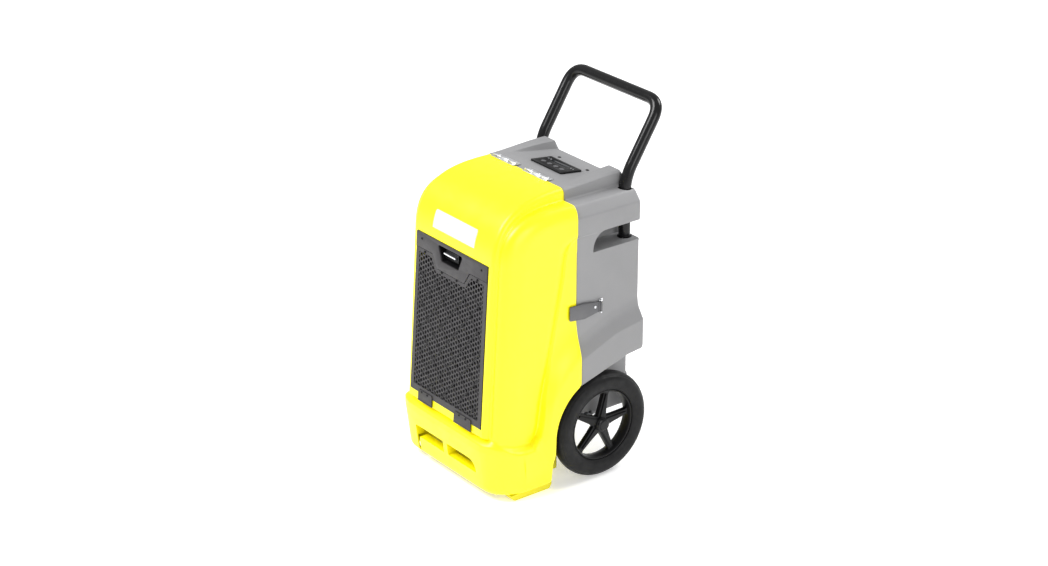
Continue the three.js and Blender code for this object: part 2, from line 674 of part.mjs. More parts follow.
// The tube is swept section by section so that its straight runs need few rings.
function handleSolid() {
  const sides = 20;
  const stops = [];
  for (const curve of handlePath().curves) {
    const steps = curve.isQuadraticBezierCurve3 ? 7 : 1;
    for (let i = 0; i < steps; i += 1) stops.push([curve.getPoint(i / steps), curve.getTangent(i / steps)]);
  }
  const last = handlePath().curves.at(-1);
  stops.push([last.getPoint(1), last.getTangent(1)]);
  const points = [];
  let across = vector(1, 0, 0);
  let before = stops[0][1];
  for (const [at, along] of stops) {
    across = across.clone().applyQuaternion(new THREE.Quaternion().setFromUnitVectors(before, along));
    before = along;
    const up = along.clone().cross(across);
    for (let k = 0; k < sides; k += 1) {
      const a = (k / sides) * Math.PI * 2;
      const ray = across.clone().multiplyScalar(Math.cos(a)).addScaledVector(up, Math.sin(a));
      points.push(at.clone().addScaledVector(ray, HANDLE_R));
    }
  }
  const at = (i, j) => i * sides + (j % sides);
  const faces = gridFaces(stops.length, sides + 1, at, false);
  for (let k = 1; k + 1 < sides; k += 1) {
    faces.push(0, k + 1, k);
    faces.push(at(stops.length - 1, 0), at(stops.length - 1, k), at(stops.length - 1, k + 1));
  }
  return toSolid(indexed(points, faces));
}
add("handle", handleSolid(), GLOSS_BLACK);

// Guide bushes: one in each shoulder's top, one in each finger pocket's floor.
for (const [side, s] of SIDES) {
  const spots = [["upper", POCKET_ROOF + WALL + GAP, 14], ["lower", POCKET_FLOOR - 3.5, 3]];
  for (const [name, z, length] of spots) {
    add(
      `handle_bush_${name}_${side}`,
      tube("z", 16.6, HANDLE_R + GAP, length, s * HANDLE_HALF, HANDLE_Y, z, 24),
      PLASTIC_BLACK,
    );
  }
}

// ---------------------------------------------------------------- cover hinges and side latches
const HINGE_Z = 702.4;
const HINGE_PIN_R = 1.6;
const KNUCKLE_R = 3.4;
for (const [side, x0, x1] of [["left", -117, -33], ["right", 0, 84]]) {
  const third = (x1 - x0) / 3;
  const knuckle = (a, b) => bar("x", KNUCKLE_R, b - a, a, SEAM_Y, HINGE_Z, 16);
  const web = (a, b, y0, y1) => block(a, b, y0, y1, 699.4, 701.2);
  const fixed = join(
    web(x0, x1, SEAM_Y + 5, SEAM_Y + 18),
    web(x0, x0 + third - GAP, SEAM_Y, SEAM_Y + 6),
    web(x1 - third + GAP, x1, SEAM_Y, SEAM_Y + 6),
    knuckle(x0, x0 + third - GAP),
    knuckle(x1 - third + GAP, x1),
  );
  const moving = join(
    web(x0, x1, SEAM_Y - 16, SEAM_Y - 5),
    web(x0 + third, x1 - third, SEAM_Y - 6, SEAM_Y),
    knuckle(x0 + third, x1 - third),
  );
  const bore = bar("x", HINGE_PIN_R + GAP, 100, x0 - 5, SEAM_Y, HINGE_Z, 12);
  add(`hinge_leaf_fixed_${side}`, cut(fixed, bore), STEEL);
  add(`hinge_leaf_cover_${side}`, cut(moving, bore), STEEL);
  add(`hinge_pin_${side}`, bar("x", HINGE_PIN_R, x1 - x0 - 1, x0 + 0.5, SEAM_Y, HINGE_Z, 12), STEEL);
}

const LATCH_PIN = { x: 193, y: 46 };
const strapOutline = [[-42, 402], [2, 398], [40, 406], [40, 430], [2, 437], [-42, 438]];
for (const [side, s] of SIDES) {
  const [strapLow, strapHigh] = [s * 190.4, s * 192.4].sort((p, q) => p - q);
  const roll = bar("z", 3, 25, s * LATCH_PIN.x, LATCH_PIN.y, 406, 16);
  const [neckLow, neckHigh] = [s * 191, s * 193].sort((p, q) => p - q);
  const neck = block(neckLow, neckHigh, 39, LATCH_PIN.y, 406, 430);
  const bore = bar("z", 1.8, 60, s * LATCH_PIN.x, LATCH_PIN.y, 390, 12);
  const strap = cut(join(prism("x", strapOutline, strapLow, strapHigh), neck, roll), bore);
  add(`side_latch_${side}`, strap, DARK_STEEL);
  const pin = bar("z", 1.4, 31, s * LATCH_PIN.x, LATCH_PIN.y, 403, 12);
  // The pin stands between two ears on a small plate fixed to the housing's side.
  const foot = s * (SIDE_HALF + GAP);
  const [earLow, earHigh] = [foot, s * (LATCH_PIN.x + 1.6)].sort((p, q) => p - q);
  const ear = (z) => block(earLow, earHigh, LATCH_PIN.y - 2, LATCH_PIN.y + 2, z, z + 1.6);
  const [plateLow, plateHigh] = [foot, s * (SIDE_HALF + 1)].sort((p, q) => p - q);
  const plate = block(plateLow, plateHigh, LATCH_PIN.y - 2, LATCH_PIN.y + 8, 402.6, 434.2);
  add(`latch_pin_${side}`, join(pin, ear(402.6), ear(432.6), plate), STEEL);
}

// ---------------------------------------------------------------- control panel
const panel = new THREE.Group();
panel.position.set(9, 60, deckZ(60) + GAP);
panel.rotation.x = -PANEL_TILT;
root.add(panel);
const BUTTONS = 4;
const buttonX = (k) => -33 + k * 22;
let bezel = cut(block(-55.5, 55.5, -30, 30, 0, 3.6), block(-28, 28, 6, 22, 1.2, 5));
for (let k = 0; k < BUTTONS; k += 1) bezel = cut(bezel, bar("z", 6.4, 6, buttonX(k), -10, -1, 20));
add("control_panel", bezel, PLASTIC_BLACK, panel);
add("display_lens", block(-27.7, 27.7, 6.3, 21.7, 1.5, 3.2), LENS, panel);
for (let k = 0; k < BUTTONS; k += 1) {
  add(`button_${k + 1}`, bar("z", 6, 3, buttonX(k), -10, 1.4, 20), PLASTIC_BLACK, panel);
}

// ---------------------------------------------------------------- air path and refrigeration
const DUCT = { half: 156, low: 185, top: 556, front: -196, back: -92 };
const duct = cut(
  block(-DUCT.half, DUCT.half, DUCT.front, DUCT.back, DUCT.low, DUCT.top),
  block(-DUCT.half + 2, DUCT.half - 2, DUCT.front - 5, DUCT.back + 5, DUCT.low + 2, DUCT.top - 2),
);
add("coil_frame", duct, GALVANISED);
function coil(y0, y1) {
  const fins = block(-140, 140, y0, y1, DUCT.low + 4, DUCT.top - 4);
  const ends = [];
  for (let k = 0; k < 8; k += 1) {
    const z = DUCT.low + 26 + k * 45;
    const middle = (y0 + y1) / 2;
    ends.push(bar("x", 4.5, 304, -152, middle - 9, z, 8), bar("x", 4.5, 304, -152, middle + 9, z, 8));
  }
  return join(fins, ...ends);
}
add("evaporator_coil", coil(-192, -152), ALUMINIUM);
add("condenser_coil", coil(-142, -102), ALUMINIUM);
const tray = cut(block(-150, 150, -200, -98, 165, 184), block(-147, 147, -197, -101, 168, 190));
add("drain_tray", tray, PLASTIC_BLACK);

const FAN_Z_AXIS = 440;
const FAN_R = 112;
const shroudPlate = block(-DUCT.half, DUCT.half, DUCT.back + GAP, DUCT.back + 3, DUCT.low, DUCT.top);
const shroudRing = tube("y", FAN_R + 8, FAN_R + 5, 34, 0, DUCT.back + 2, FAN_Z_AXIS, 40);
const shroudHole = bar("y", FAN_R + 5, 20, 0, DUCT.back - 10, FAN_Z_AXIS, 40);
add("fan_shroud", join(cut(shroudPlate, shroudHole), shroudRing), GALVANISED);
function fanSolid() {
  let fan = cut(bar("y", 32, 24, 0, -84, FAN_Z_AXIS, 24), bar("y", 5.4, 40, 0, -90, FAN_Z_AXIS, 12));
  for (let k = 0; k < 5; k += 1) {
    const blade = new THREE.BoxGeometry(FAN_R - 26, 2.4, 34);
    blade.rotateX(THREE.MathUtils.degToRad(62));
    blade.translate((FAN_R + 24) / 2, 0, 0);
    blade.rotateY((k / 5) * Math.PI * 2);
    blade.translate(0, -72, FAN_Z_AXIS);
    fan = join(fan, toSolid(blade));
  }
  return fan;
}
add("fan_rotor", fanSolid(), PLASTIC_BLACK);
const motor = join(bar("y", 44, 62, 0, -40, FAN_Z_AXIS, 28), bar("y", 5, 46, 0, -84, FAN_Z_AXIS, 12));
add("fan_motor", motor, DARK_STEEL);
const bridge = join(
  block(-150, 150, -56, -53, FAN_Z_AXIS - 16, FAN_Z_AXIS + 16),
  block(-150, -147, -89 + GAP, -53, FAN_Z_AXIS - 16, FAN_Z_AXIS + 16),
  block(147, 150, -89 + GAP, -53, FAN_Z_AXIS - 16, FAN_Z_AXIS + 16),
  tube("y", 47, 44.4, 18, 0, -53, FAN_Z_AXIS, 28),
  block(-50, 50, -56, -53, FAN_Z_AXIS - 44, FAN_Z_AXIS + 44),
);
const shaftHole = bar("y", 7, 30, 0, -70, FAN_Z_AXIS, 16);
const motorSeat = bar("y", 44.4, 30, 0, -53.1, FAN_Z_AXIS, 28);
add("motor_bracket", cut(bridge, shaftHole, motorSeat), GALVANISED);

const COMPRESSOR = { x: -62, y: 92, r: 52, low: 152, high: 320 };
const underCan = (front, back, low, high) =>
  block(COMPRESSOR.x - 60, COMPRESSOR.x + 60, COMPRESSOR.y + front, COMPRESSOR.y + back, low, high);
const canHigh = COMPRESSOR.high - COMPRESSOR.low;
const can = join(
  bar("z", COMPRESSOR.r, canHigh, COMPRESSOR.x, COMPRESSOR.y, COMPRESSOR.low, 32),
  bar("z", COMPRESSOR.r - 16, 18, COMPRESSOR.x, COMPRESSOR.y, COMPRESSOR.high - 4, 24),
  underCan(-46, 46, COMPRESSOR.low - 5, COMPRESSOR.low + 1),
);
add("compressor", can, PLASTIC_BLACK);
add("compressor_pad", underCan(-46, -20, 142.4, 146.6), RUBBER);
const suctionRise = [[-62, 60, 334.5], [-62, 60, 352], [-100, 30, 372]];
const suctionRun = [[-158, -20, 380], [-163, -90, 392], [-163, -172, 400]];
add("suction_pipe", pipe([...suctionRise, ...suctionRun], 6), COPPER);
const dischargeRise = [[-62, 112, 334.5], [-62, 112, 346], [20, 110, 352]];
const dischargeRun = [[120, 60, 360], [163, -20, 370], [163, -120, 392]];
add("discharge_pipe", pipe([...dischargeRise, ...dischargeRun], 5), COPPER);
const pump = join(block(40, 130, -200, -120, 18.4, 78), bar("z", 20, 26, 85, -160, 77, 24));
const pumpInside = block(46, 124, -194, -126, 24, 72);
const pumpInletHole = bar("z", 4, 20, 60, -135, 65, 12);
add("condensate_pump", cut(pump, pumpInside, pumpInletHole), PLASTIC_BLACK);
const boxInside = block(-67, 67, 27, 117, 621, 665);
const cableSlot = block(-20, 20, 110, 125, 630, 650);
add("control_box", cut(block(-70, 70, 24, 120, 618, 668), boxInside, cableSlot), GALVANISED);

// ---------------------------------------------------------------- back of the housing
const grille = { half: OUTLET.half - GAP, low: OUTLET.low + GAP, top: OUTLET.top - GAP };
let louvres = cut(
  block(-grille.half, grille.half, REAR_Y - 7, REAR_Y, grille.low, grille.top),
  block(-grille.half + 10, grille.half - 10, REAR_Y - 10, REAR_Y + 3, grille.low + 10, grille.top - 10),
);
const SLATS = 9;
for (let k = 1; k <= SLATS; k += 1) {
  const z = mix(grille.low + 10, grille.top - 10, k / (SLATS + 1));
  louvres = join(louvres, block(-grille.half + 9, grille.half - 9, REAR_Y - 6, REAR_Y - 1, z - 4, z + 4));
}
add("outlet_grille", louvres, PLASTIC_BLACK);
const inlet = join(
  block(-125.7, -98.3, REAR_Y - 20, REAR_Y + GAP, 219.3, 242.7),
  block(-130, -94, REAR_Y + GAP, REAR_Y + 3, 215, 247),
);
add("power_inlet", cut(inlet, block(-122, -102, REAR_Y - 14, REAR_Y + 5, 223, 239)), PLASTIC_BLACK);
const spigot = join(
  bar("y", 10.6, 14, 112, REAR_Y - 9, 180, 20),
  bar("y", 15, 4, 112, REAR_Y + GAP, 180, 20),
  bar("y", 8, 24, 112, REAR_Y + 2, 180, 20),
);
add("drain_fitting", cut(spigot, bar("y", 5.5, 60, 112, REAR_Y - 20, 180, 16)), PLASTIC_BLACK);

export default root;
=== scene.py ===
import json
import math

import bmesh
import bpy
from mathutils import Matrix, Vector


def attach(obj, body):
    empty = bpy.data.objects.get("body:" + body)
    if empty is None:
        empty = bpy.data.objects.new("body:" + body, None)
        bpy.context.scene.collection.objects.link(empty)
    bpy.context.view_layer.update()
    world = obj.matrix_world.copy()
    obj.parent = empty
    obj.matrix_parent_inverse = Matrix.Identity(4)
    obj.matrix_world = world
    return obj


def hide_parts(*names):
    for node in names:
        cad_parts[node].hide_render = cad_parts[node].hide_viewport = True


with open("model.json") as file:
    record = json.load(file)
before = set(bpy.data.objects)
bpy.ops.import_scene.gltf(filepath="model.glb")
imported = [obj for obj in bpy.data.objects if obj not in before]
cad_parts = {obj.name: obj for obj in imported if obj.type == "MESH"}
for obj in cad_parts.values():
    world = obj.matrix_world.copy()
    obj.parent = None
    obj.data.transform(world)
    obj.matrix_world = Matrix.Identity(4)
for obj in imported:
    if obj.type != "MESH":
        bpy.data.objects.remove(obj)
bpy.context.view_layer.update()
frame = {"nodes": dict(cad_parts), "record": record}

bl_info = {
    "name": "Portable Dehumidifier",
    "version": (1, 0, 0),
    "blender": (4, 5, 0),
    "location": "View3D > Sidebar > Dehumidifier",
    "description": "Builds a wheeled commercial dehumidifier on its packed frame",
    "category": "Add Mesh",
}

MM = 0.001

# Sizes below are in millimetres.
SEAM_Y = -19.5  # plane where the cover meets the housing
REAR_Y = 161.0
FAN_Z = 563.0  # the cover's face curves back above this height
BASE_Z = 15.0
SIDE_HALF = 187.0
SHOULDER_HALF = 190.0
FLARE_HALF = 209.0
WELL_HALF = 150.0
BELLY_Z = 124.0
AXLE_Y = 45.0
AXLE_Z = 127.0
WHEEL_X = 192.0
ARCH_R = 135.0
DOOR_LEAN = math.radians(3.86)
DOOR_HEIGHT = 386.5
DOOR_HALF_LOW = 135.2
DOOR_HALF_TOP = 132.6
DOOR_TO_WORLD = Matrix.Translation((0, -248.3, 177)) @ Matrix.Rotation(-DOOR_LEAN, 4, "X")
DOOR_TO_WORLD_M = Matrix.Translation((0, -0.2483, 0.177)) @ Matrix.Rotation(-DOOR_LEAN, 4, "X")
PANEL_TILT = math.atan2(16, 128)
HANDLE_HALF = 153.7
SIDES = (("left", -1), ("right", 1))


# ------------------------------------------------------------------ settings
class DEHUMIDIFIER_PG_sizes(bpy.types.PropertyGroup):
    """Sizes that may be changed without leaving the frame."""

    wall: bpy.props.FloatProperty(
        name="Wall", description="Thickness of the moulded shells",
        default=0.004, min=0.002, max=0.006, unit="LENGTH")
    cell_pitch: bpy.props.FloatProperty(
        name="Cell pitch", description="Distance between holes in one column of the door",
        default=0.0116, min=0.008, max=0.02, unit="LENGTH")
    cell_column: bpy.props.FloatProperty(
        name="Cell column", description="Distance between the columns of holes",
        default=0.009, min=0.007, max=0.018, unit="LENGTH")
    cell_hole: bpy.props.FloatProperty(
        name="Cell hole", description="Width of each hole in the door",
        default=0.0086, min=0.003, max=0.014, unit="LENGTH")
    fin_pitch: bpy.props.FloatProperty(
        name="Fin pitch", description="Distance between fins of a coil",
        default=0.0028, min=0.002, max=0.01, unit="LENGTH")


class DEHUMIDIFIER_PG_finishes(bpy.types.PropertyGroup):
    """Colours of the visible finishes."""

    cover: bpy.props.FloatVectorProperty(
        name="Cover", description="Colour of the front cover", subtype="COLOR",
        size=4, min=0, max=1, default=(0.96, 0.86, 0.004, 1))
    housing: bpy.props.FloatVectorProperty(
        name="Housing", description="Colour of the rear housing", subtype="COLOR",
        size=4, min=0, max=1, default=(0.225, 0.225, 0.23, 1))
    door: bpy.props.FloatVectorProperty(
        name="Door", description="Colour of the filter door", subtype="COLOR",
        size=4, min=0, max=1, default=(0.037, 0.035, 0.037, 1))
    black: bpy.props.FloatVectorProperty(
        name="Black", description="Colour of handle, wheels and panel", subtype="COLOR",
        size=4, min=0, max=1, default=(0.006, 0.006, 0.0065, 1))


def sizes():
    return bpy.context.scene.dehumidifier_sizes


def finishes():
    return bpy.context.scene.dehumidifier_finishes


# ------------------------------------------------------------------ finishes
def node(holder, kind, inputs=None, **settings):
    """A new node with its settings, then its inputs: each a value or another node's output."""
    made = holder.nodes.new(kind)
    for label, value in settings.items():
        setattr(made, label, value)
    for label, value in (inputs or {}).items():
        if isinstance(value, bpy.types.NodeSocket):
            holder.links.new(value, made.inputs[label])
        elif value is not None:
            made.inputs[label].default_value = value
    return made


def shader(name, colour, roughness, metallic=0.0, sheen=0.5):
    """A new material with its nodes, its shader and the object coordinates."""
    material = bpy.data.materials.new(name)
    material.use_nodes = True
    base = material.node_tree.nodes["Principled BSDF"]
    base.inputs["Base Color"].default_value = colour
    base.inputs["Roughness"].default_value = roughness
    base.inputs["Metallic"].default_value = metallic
    base.inputs["Specular IOR Level"].default_value = sheen
    return material, base, node(material.node_tree, "ShaderNodeTexCoord").outputs["Object"]


def noise(material, place, scale, detail=3.0, roughness=0.55):
    values = {"Scale": scale, "Detail": detail, "Roughness": roughness, "Vector": place}
    return node(material.node_tree, "ShaderNodeTexNoise", values).outputs["Fac"]


def voronoi(material, place, scale):
    values = {"Scale": scale, "Vector": place}
    return node(material.node_tree, "ShaderNodeTexVoronoi", values).outputs["Distance"]


def spread(material, value, low, high):
    """Maps a 0 to 1 pattern on to a narrow range."""
    values = {"From Min": 0.3, "From Max": 0.7, "To Min": low, "To Max": high, "Value": value}
    return node(material.node_tree, "ShaderNodeMapRange", values).outputs["Result"]


def tint(material, base, value, first, second):
    """Colours the shader between two colours by a 0 to 1 pattern."""
    values = {"A": first, "B": second, "Factor": value}
    mixed = node(material.node_tree, "ShaderNodeMix", values, data_type="RGBA")
    material.node_tree.links.new(mixed.outputs["Result"], base.inputs["Base Color"])


def gloss(material, base, value, low, high):
    """Varies the shader's roughness between two values by a 0 to 1 pattern."""
    result = spread(material, value, low, high)
    material.node_tree.links.new(result, base.inputs["Roughness"])


def relief(material, base, height, strength, distance):
    values = {"Strength": strength, "Distance": distance, "Height": height}
    bump = node(material.node_tree, "ShaderNodeBump", values)
    material.node_tree.links.new(bump.outputs["Normal"], base.inputs["Normal"])


def shade(colour, factor):
    return (colour[0] * factor, colour[1] * factor, colour[2] * factor, 1)


def moulded(name, colour, roughness, grain=900.0, bump=0.12, variation=0.05, sheen=0.5):
    """Moulded plastic: fine grain, slight cloudiness, scuffed gloss."""
    material, base, place = shader(name, colour, roughness, 0.0, sheen)
    cloud = spread(material, noise(material, place, 7.0), 0.0, 1.0)
    tint(material, base, cloud, shade(colour, 1 - variation), shade(colour, 1 + variation))
    scuff = noise(material, place, 26.0, 6.0, 0.7)
    gloss(material, base, scuff, roughness - 0.05, roughness + 0.09)
    relief(material, base, noise(material, place, grain, 2.0), bump, 0.0004)
    return material


def metal(name, colour, roughness, streak=(4.0, 4.0, 900.0), bump=0.08):
    """Bare metal with fine lines along one direction."""
    material, base, place = shader(name, colour, roughness, 1.0)
    stretch = node(material.node_tree, "ShaderNodeMapping", {"Scale": streak, "Vector": place})
    lines = noise(material, stretch.outputs["Vector"], 1.0, 4.0)
    gloss(material, base, lines, roughness - 0.06, roughness + 0.1)
    cloud = spread(material, noise(material, place, 18.0), 0.0, 1.0)
    tint(material, base, cloud, shade(colour, 0.88), shade(colour, 1.06))
    relief(material, base, lines, bump, 0.0002)
    return material


def powder(name, colour, roughness, scale=1600.0, bump=0.25, sheen=0.3):
    """Powder-coated metal: tight orange peel over a slightly uneven colour."""
    material, base, place = shader(name, colour, roughness, 0.0, sheen)
    cloud = spread(material, noise(material, place, 12.0, 5.0), 0.0, 1.0)
    tint(material, base, cloud, shade(colour, 0.9), shade(colour, 1.12))
    gloss(material, base, noise(material, place, 60.0, 4.0), roughness - 0.05, roughness + 0.07)
    relief(material, base, voronoi(material, place, scale), bump, 0.0002)
    return material


def rubber(name, colour):
    """Tyre rubber: dull, slightly dusty and finely pitted."""
    material, base, place = shader(name, colour, 0.5, 0.0, 0.14)
    dust = spread(material, noise(material, place, 30.0, 7.0, 0.7), 0.0, 1.0)
    tint(material, base, dust, shade(colour, 0.85), (0.016, 0.016, 0.0165, 1))
    gloss(material, base, noise(material, place, 90.0, 5.0), 0.34, 0.55)
    relief(material, base, noise(material, place, 700.0, 3.0), 0.2, 0.0004)
    return material


def foam(name, colour):
    """Open-celled filter foam."""
    material, base, place = shader(name, colour, 0.95)
    cells = voronoi(material, place, 420.0)
    tint(material, base, cells, shade(colour, 0.5), shade(colour, 1.5))
    relief(material, base, cells, 0.8, 0.002)
    return material


FINISH = {}


def make_finishes():
    chosen = finishes()
    yellow, grey, door, black = (tuple(c)
                                 for c in (chosen.cover, chosen.housing, chosen.door, chosen.black))
    FINISH["cover"] = moulded("cover_yellow", yellow, 0.34, 500.0, 0.05, 0.03)
    # Painted shade: the pan finish is the cover's yellow darkened to 0.72, standing in for the shade
    # under the skirt and behind the grab windows.
    FINISH["pan"] = moulded("pan_yellow_painted_shade", shade(yellow, 0.72), 0.42, 500.0, 0.1, 0.06)
    FINISH["housing"] = moulded("housing_grey", grey, 0.46, 800.0, 0.16, 0.05)
    FINISH["door"] = powder("door_powder_coat", door, 0.46)
    FINISH["gloss"] = powder("handle_gloss_coat", black, 0.2, 500.0, 0.06, 0.25)
    FINISH["black"] = moulded("black_moulding", black, 0.36, 800.0, 0.14, 0.2, 0.22)
    FINISH["rubber"] = rubber("tyre_rubber", black)
    FINISH["steel"] = metal("hinge_steel", (0.86, 0.87, 0.89, 1), 0.34, (900.0, 4.0, 4.0))
    FINISH["dark_steel"] = metal("latch_steel", (0.13, 0.13, 0.135, 1), 0.4, (4.0, 4.0, 900.0))
    FINISH["galvanised"] = metal("galvanised_sheet", (0.42, 0.44, 0.45, 1), 0.45,
                                 (30.0, 30.0, 30.0))
    FINISH["fin"] = metal("coil_fin", (0.62, 0.63, 0.65, 1), 0.4, (4.0, 400.0, 4.0))
    FINISH["copper"] = metal("pipe_copper", (0.62, 0.24, 0.1, 1), 0.3, (60.0, 60.0, 60.0))
    FINISH["plate"] = powder("blank_plate", (0.56, 0.57, 0.6, 1), 0.25, 300.0, 0.03, 0.5)
    FINISH["foam"] = foam("filter_foam", (0.022, 0.022, 0.024, 1))
    FINISH["lens"] = moulded("smoked_lens", (0.006, 0.008, 0.011, 1), 0.12, 300.0, 0.02, 0.1)
    FINISH["button"] = moulded("button_grey", (0.09, 0.09, 0.095, 1), 0.45, 900.0, 0.1, 0.05)


# ------------------------------------------------------------------ shapes
def smooth(t):
    c = min(1.0, max(0.0, t))
    return c * c * (3 - 2 * c)


def mix(a, b, t):
    return a + (b - a) * t


def steps(a, b, count):
    """`count` numbers after a, ending at b."""
    return [mix(a, b, i / count) for i in range(1, count + 1)]


def raw(name, points, faces, place=None):
    """A mesh object from millimetre points."""
    mesh = bpy.data.meshes.new(name)
    if place is not None:
        points = [place @ Vector(p) for p in points]
    mesh.from_pydata([Vector(p) * MM for p in points], [], faces)
    piece = bpy.data.objects.new(name, mesh)
    bpy.context.scene.collection.objects.link(piece)
    return piece


def tidy(piece, outward=True):
    """Merges doubles and turns every face outwards."""
    work = bmesh.new()
    work.from_mesh(piece.data)
    bmesh.ops.remove_doubles(work, verts=work.verts, dist=1e-6)
    bmesh.ops.dissolve_degenerate(work, dist=1e-7, edges=work.edges)
    if outward:
        bmesh.ops.recalc_face_normals(work, faces=work.faces)
    work.to_mesh(piece.data)
    work.free()
    return piece


def baked(piece):
    """Turns the modified object into a plain mesh."""
    graph = bpy.context.evaluated_depsgraph_get()
    mesh = bpy.data.meshes.new_from_object(piece.evaluated_get(graph))
    piece.modifiers.clear()
    piece.data = mesh
    return piece


def softened(piece, width, segments=2, angle=40.0):
    bevel = piece.modifiers.new("soften", "BEVEL")
    bevel.width = width * MM
    bevel.segments = segments
    bevel.limit_method = "ANGLE"
    bevel.angle_limit = math.radians(angle)
    bevel.harden_normals = False
    return baked(piece)


def carve(piece, tool, operation="DIFFERENCE"):
    """Joins or cuts with another closed shape, which is used up."""
    change = piece.modifiers.new("carve", "BOOLEAN")
    change.operation = operation
    change.solver = "MANIFOLD"
    change.object = tool
    baked(piece)
    bpy.data.objects.remove(tool)
    return piece


def merged(name, pieces):
    """Puts several separate closed shapes in one object."""
    work = bmesh.new()
    for piece in pieces:
        work.from_mesh(piece.data)
        bpy.data.objects.remove(piece)
    mesh = bpy.data.meshes.new(name)
    work.to_mesh(mesh)
    work.free()
    whole = bpy.data.objects.new(name, mesh)
    bpy.context.scene.collection.objects.link(whole)
    return whole


def done(piece, name, finish, body, replaces=(), angle=30.0):
    """Shades, names and files a finished piece."""
    piece.name = name
    piece.data.name = name
    for polygon in piece.data.polygons:
        polygon.use_smooth = True
    piece.data.set_sharp_from_angle(angle=math.radians(angle))
    piece.data.materials.clear()
    piece.data.materials.append(FINISH[finish])
    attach(piece, body)
    if replaces:
        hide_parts(*replaces)
    return piece


def block(low, high, place=None):
    (a, b, c), (d, e, f) = low, high
    points = [(x, y, z) for x in (a, d) for y in (b, e) for z in (c, f)]
    faces = [(0, 1, 3, 2), (4, 6, 7, 5), (0, 4, 5, 1), (2, 3, 7, 6), (0, 2, 6, 4), (1, 5, 7, 3)]
    return raw("block", points, faces, place)


def prism(outline, low, high, axis="y", place=None):
    """A closed slab: the outline's two numbers follow the two axes after `axis`."""
    order = {"x": lambda a, b, t: (t, a, b), "y": lambda a, b, t: (a, t, b), "z": lambda a, b,
             t: (a, b, t)}[axis]
    count = len(outline)
    points = [order(a, b, low) for a, b in outline] + [order(a, b, high) for a, b in outline]
    faces = [tuple(range(count)), tuple(range(2 * count - 1, count - 1, -1))]
    faces += [(i, (i + 1) % count, count + (i + 1) % count, count + i) for i in range(count)]
    return tidy(raw("prism", points, faces, place))


def rect(x0, y0, x1, y1):
    """The corners of a rectangle, in order."""
    return [(x0, y0), (x1, y0), (x1, y1), (x0, y1)]


def rounded(outline, radii, segments=5, closed=True):
    """Rounds the corners of an outline. One radius, or one for each corner."""
    count = len(outline)
    if not isinstance(radii, (list, tuple)):
        radii = [radii] * count
    result = []
    for i, (here, radius) in enumerate(zip(outline, radii)):
        if not closed and i in (0, count - 1):
            result.append(tuple(here))
            continue
        here = Vector(here)
        before = Vector(outline[i - 1]) - here
        after = Vector(outline[(i + 1) % count]) - here
        half = before.angle(after, math.pi) / 2
        reach = radius / max(0.2, math.tan(half)) if half < 1.5 else radius * 0.3
        near = here + before.normalized() * min(reach, before.length * 0.45)
        far = here + after.normalized() * min(reach, after.length * 0.45)
        for k in range(segments + 1):
            t = k / segments
            point = near * (1 - t) ** 2 + here * 2 * t * (1 - t) + far * t * t
            result.append(tuple(point))
    return result


def turned(profile, axis, centre, sides=64, place=None):
    """A closed turned shape from (radius, distance along the axis) pairs."""
    x, y, z = centre
    order = {
        "x": lambda r, t, c, s: (x + t, y + r * c, z + r * s),
        "y": lambda r, t, c, s: (x + r * c, y + t, z + r * s),
        "z": lambda r, t, c, s: (x + r * c, y + r * s, z + t),
    }[axis]
    count = len(profile)
    points = []
    for k in range(sides):
        c, s = math.cos(2 * math.pi * k / sides), math.sin(2 * math.pi * k / sides)
        points += [order(r, t, c, s) for r, t in profile]
    faces = []
    for k in range(sides):
        a, b = k * count, ((k + 1) % sides) * count
        faces += [(a + i, a + i + 1, b + i + 1, b + i) for i in range(count - 1)]
    return tidy(raw("turned", points, faces, place))


def lofted(rows):
    """A closed skin over a list of equally long rings of points."""
    width = len(rows[0])
    count = len(rows) * width
    faces = [tuple(range(width)), tuple(range(count - 1, count - width - 1, -1))]
    for i in range(len(rows) - 1):
        for j in range(width):
            n = (j + 1) % width
            faces.append((i * width + j, i * width + n, (i + 1) * width + n, (i + 1) * width + j))
    return tidy(raw("loft", [p for row in rows for p in row], faces))


def rod(radius, start, end, axis, centre, sides=64, place=None):
    """A plain round bar from `start` to `end` along its axis."""
    return turned([(0, start), (radius, start), (radius, end), (0, end)], axis, centre, sides,
                  place)


def swept(path, radius, sides=24):
    """A round bar along a path, with closed ends. The radius may vary along it."""
    points = [Vector(p) for p in path]
    count = len(points)
    radii = radius if isinstance(radius, (list, tuple)) else [radius] * count
    tangents = [(points[min(i + 1, count - 1)] - points[max(i - 1, 0)]).normalized()
                for i in range(count)]
    across = tangents[0].orthogonal().normalized()
    verts = []
    for i in range(count):
        if i:
            across = tangents[i - 1].rotation_difference(tangents[i]) @ across
        up = tangents[i].cross(across)
        for k in range(sides):
            a = 2 * math.pi * k / sides
            verts.append(points[i] + (across * math.cos(a) + up * math.sin(a)) * radii[i])
    faces = []
    for i in range(count - 1):
        for k in range(sides):
            n = (k + 1) % sides
            faces.append((i * sides + k, i * sides + n, (i + 1) * sides + n, (i + 1) * sides + k))
    faces += [tuple(range(sides - 1, -1, -1)), tuple(range((count - 1) * sides, count * sides))]
    return tidy(raw("swept", verts, faces))


def smooth_path(corners, radii, segments=10):
    """A path through corners, each rounded by its radius."""
    return rounded([tuple(c) for c in corners], radii, segments, closed=False)


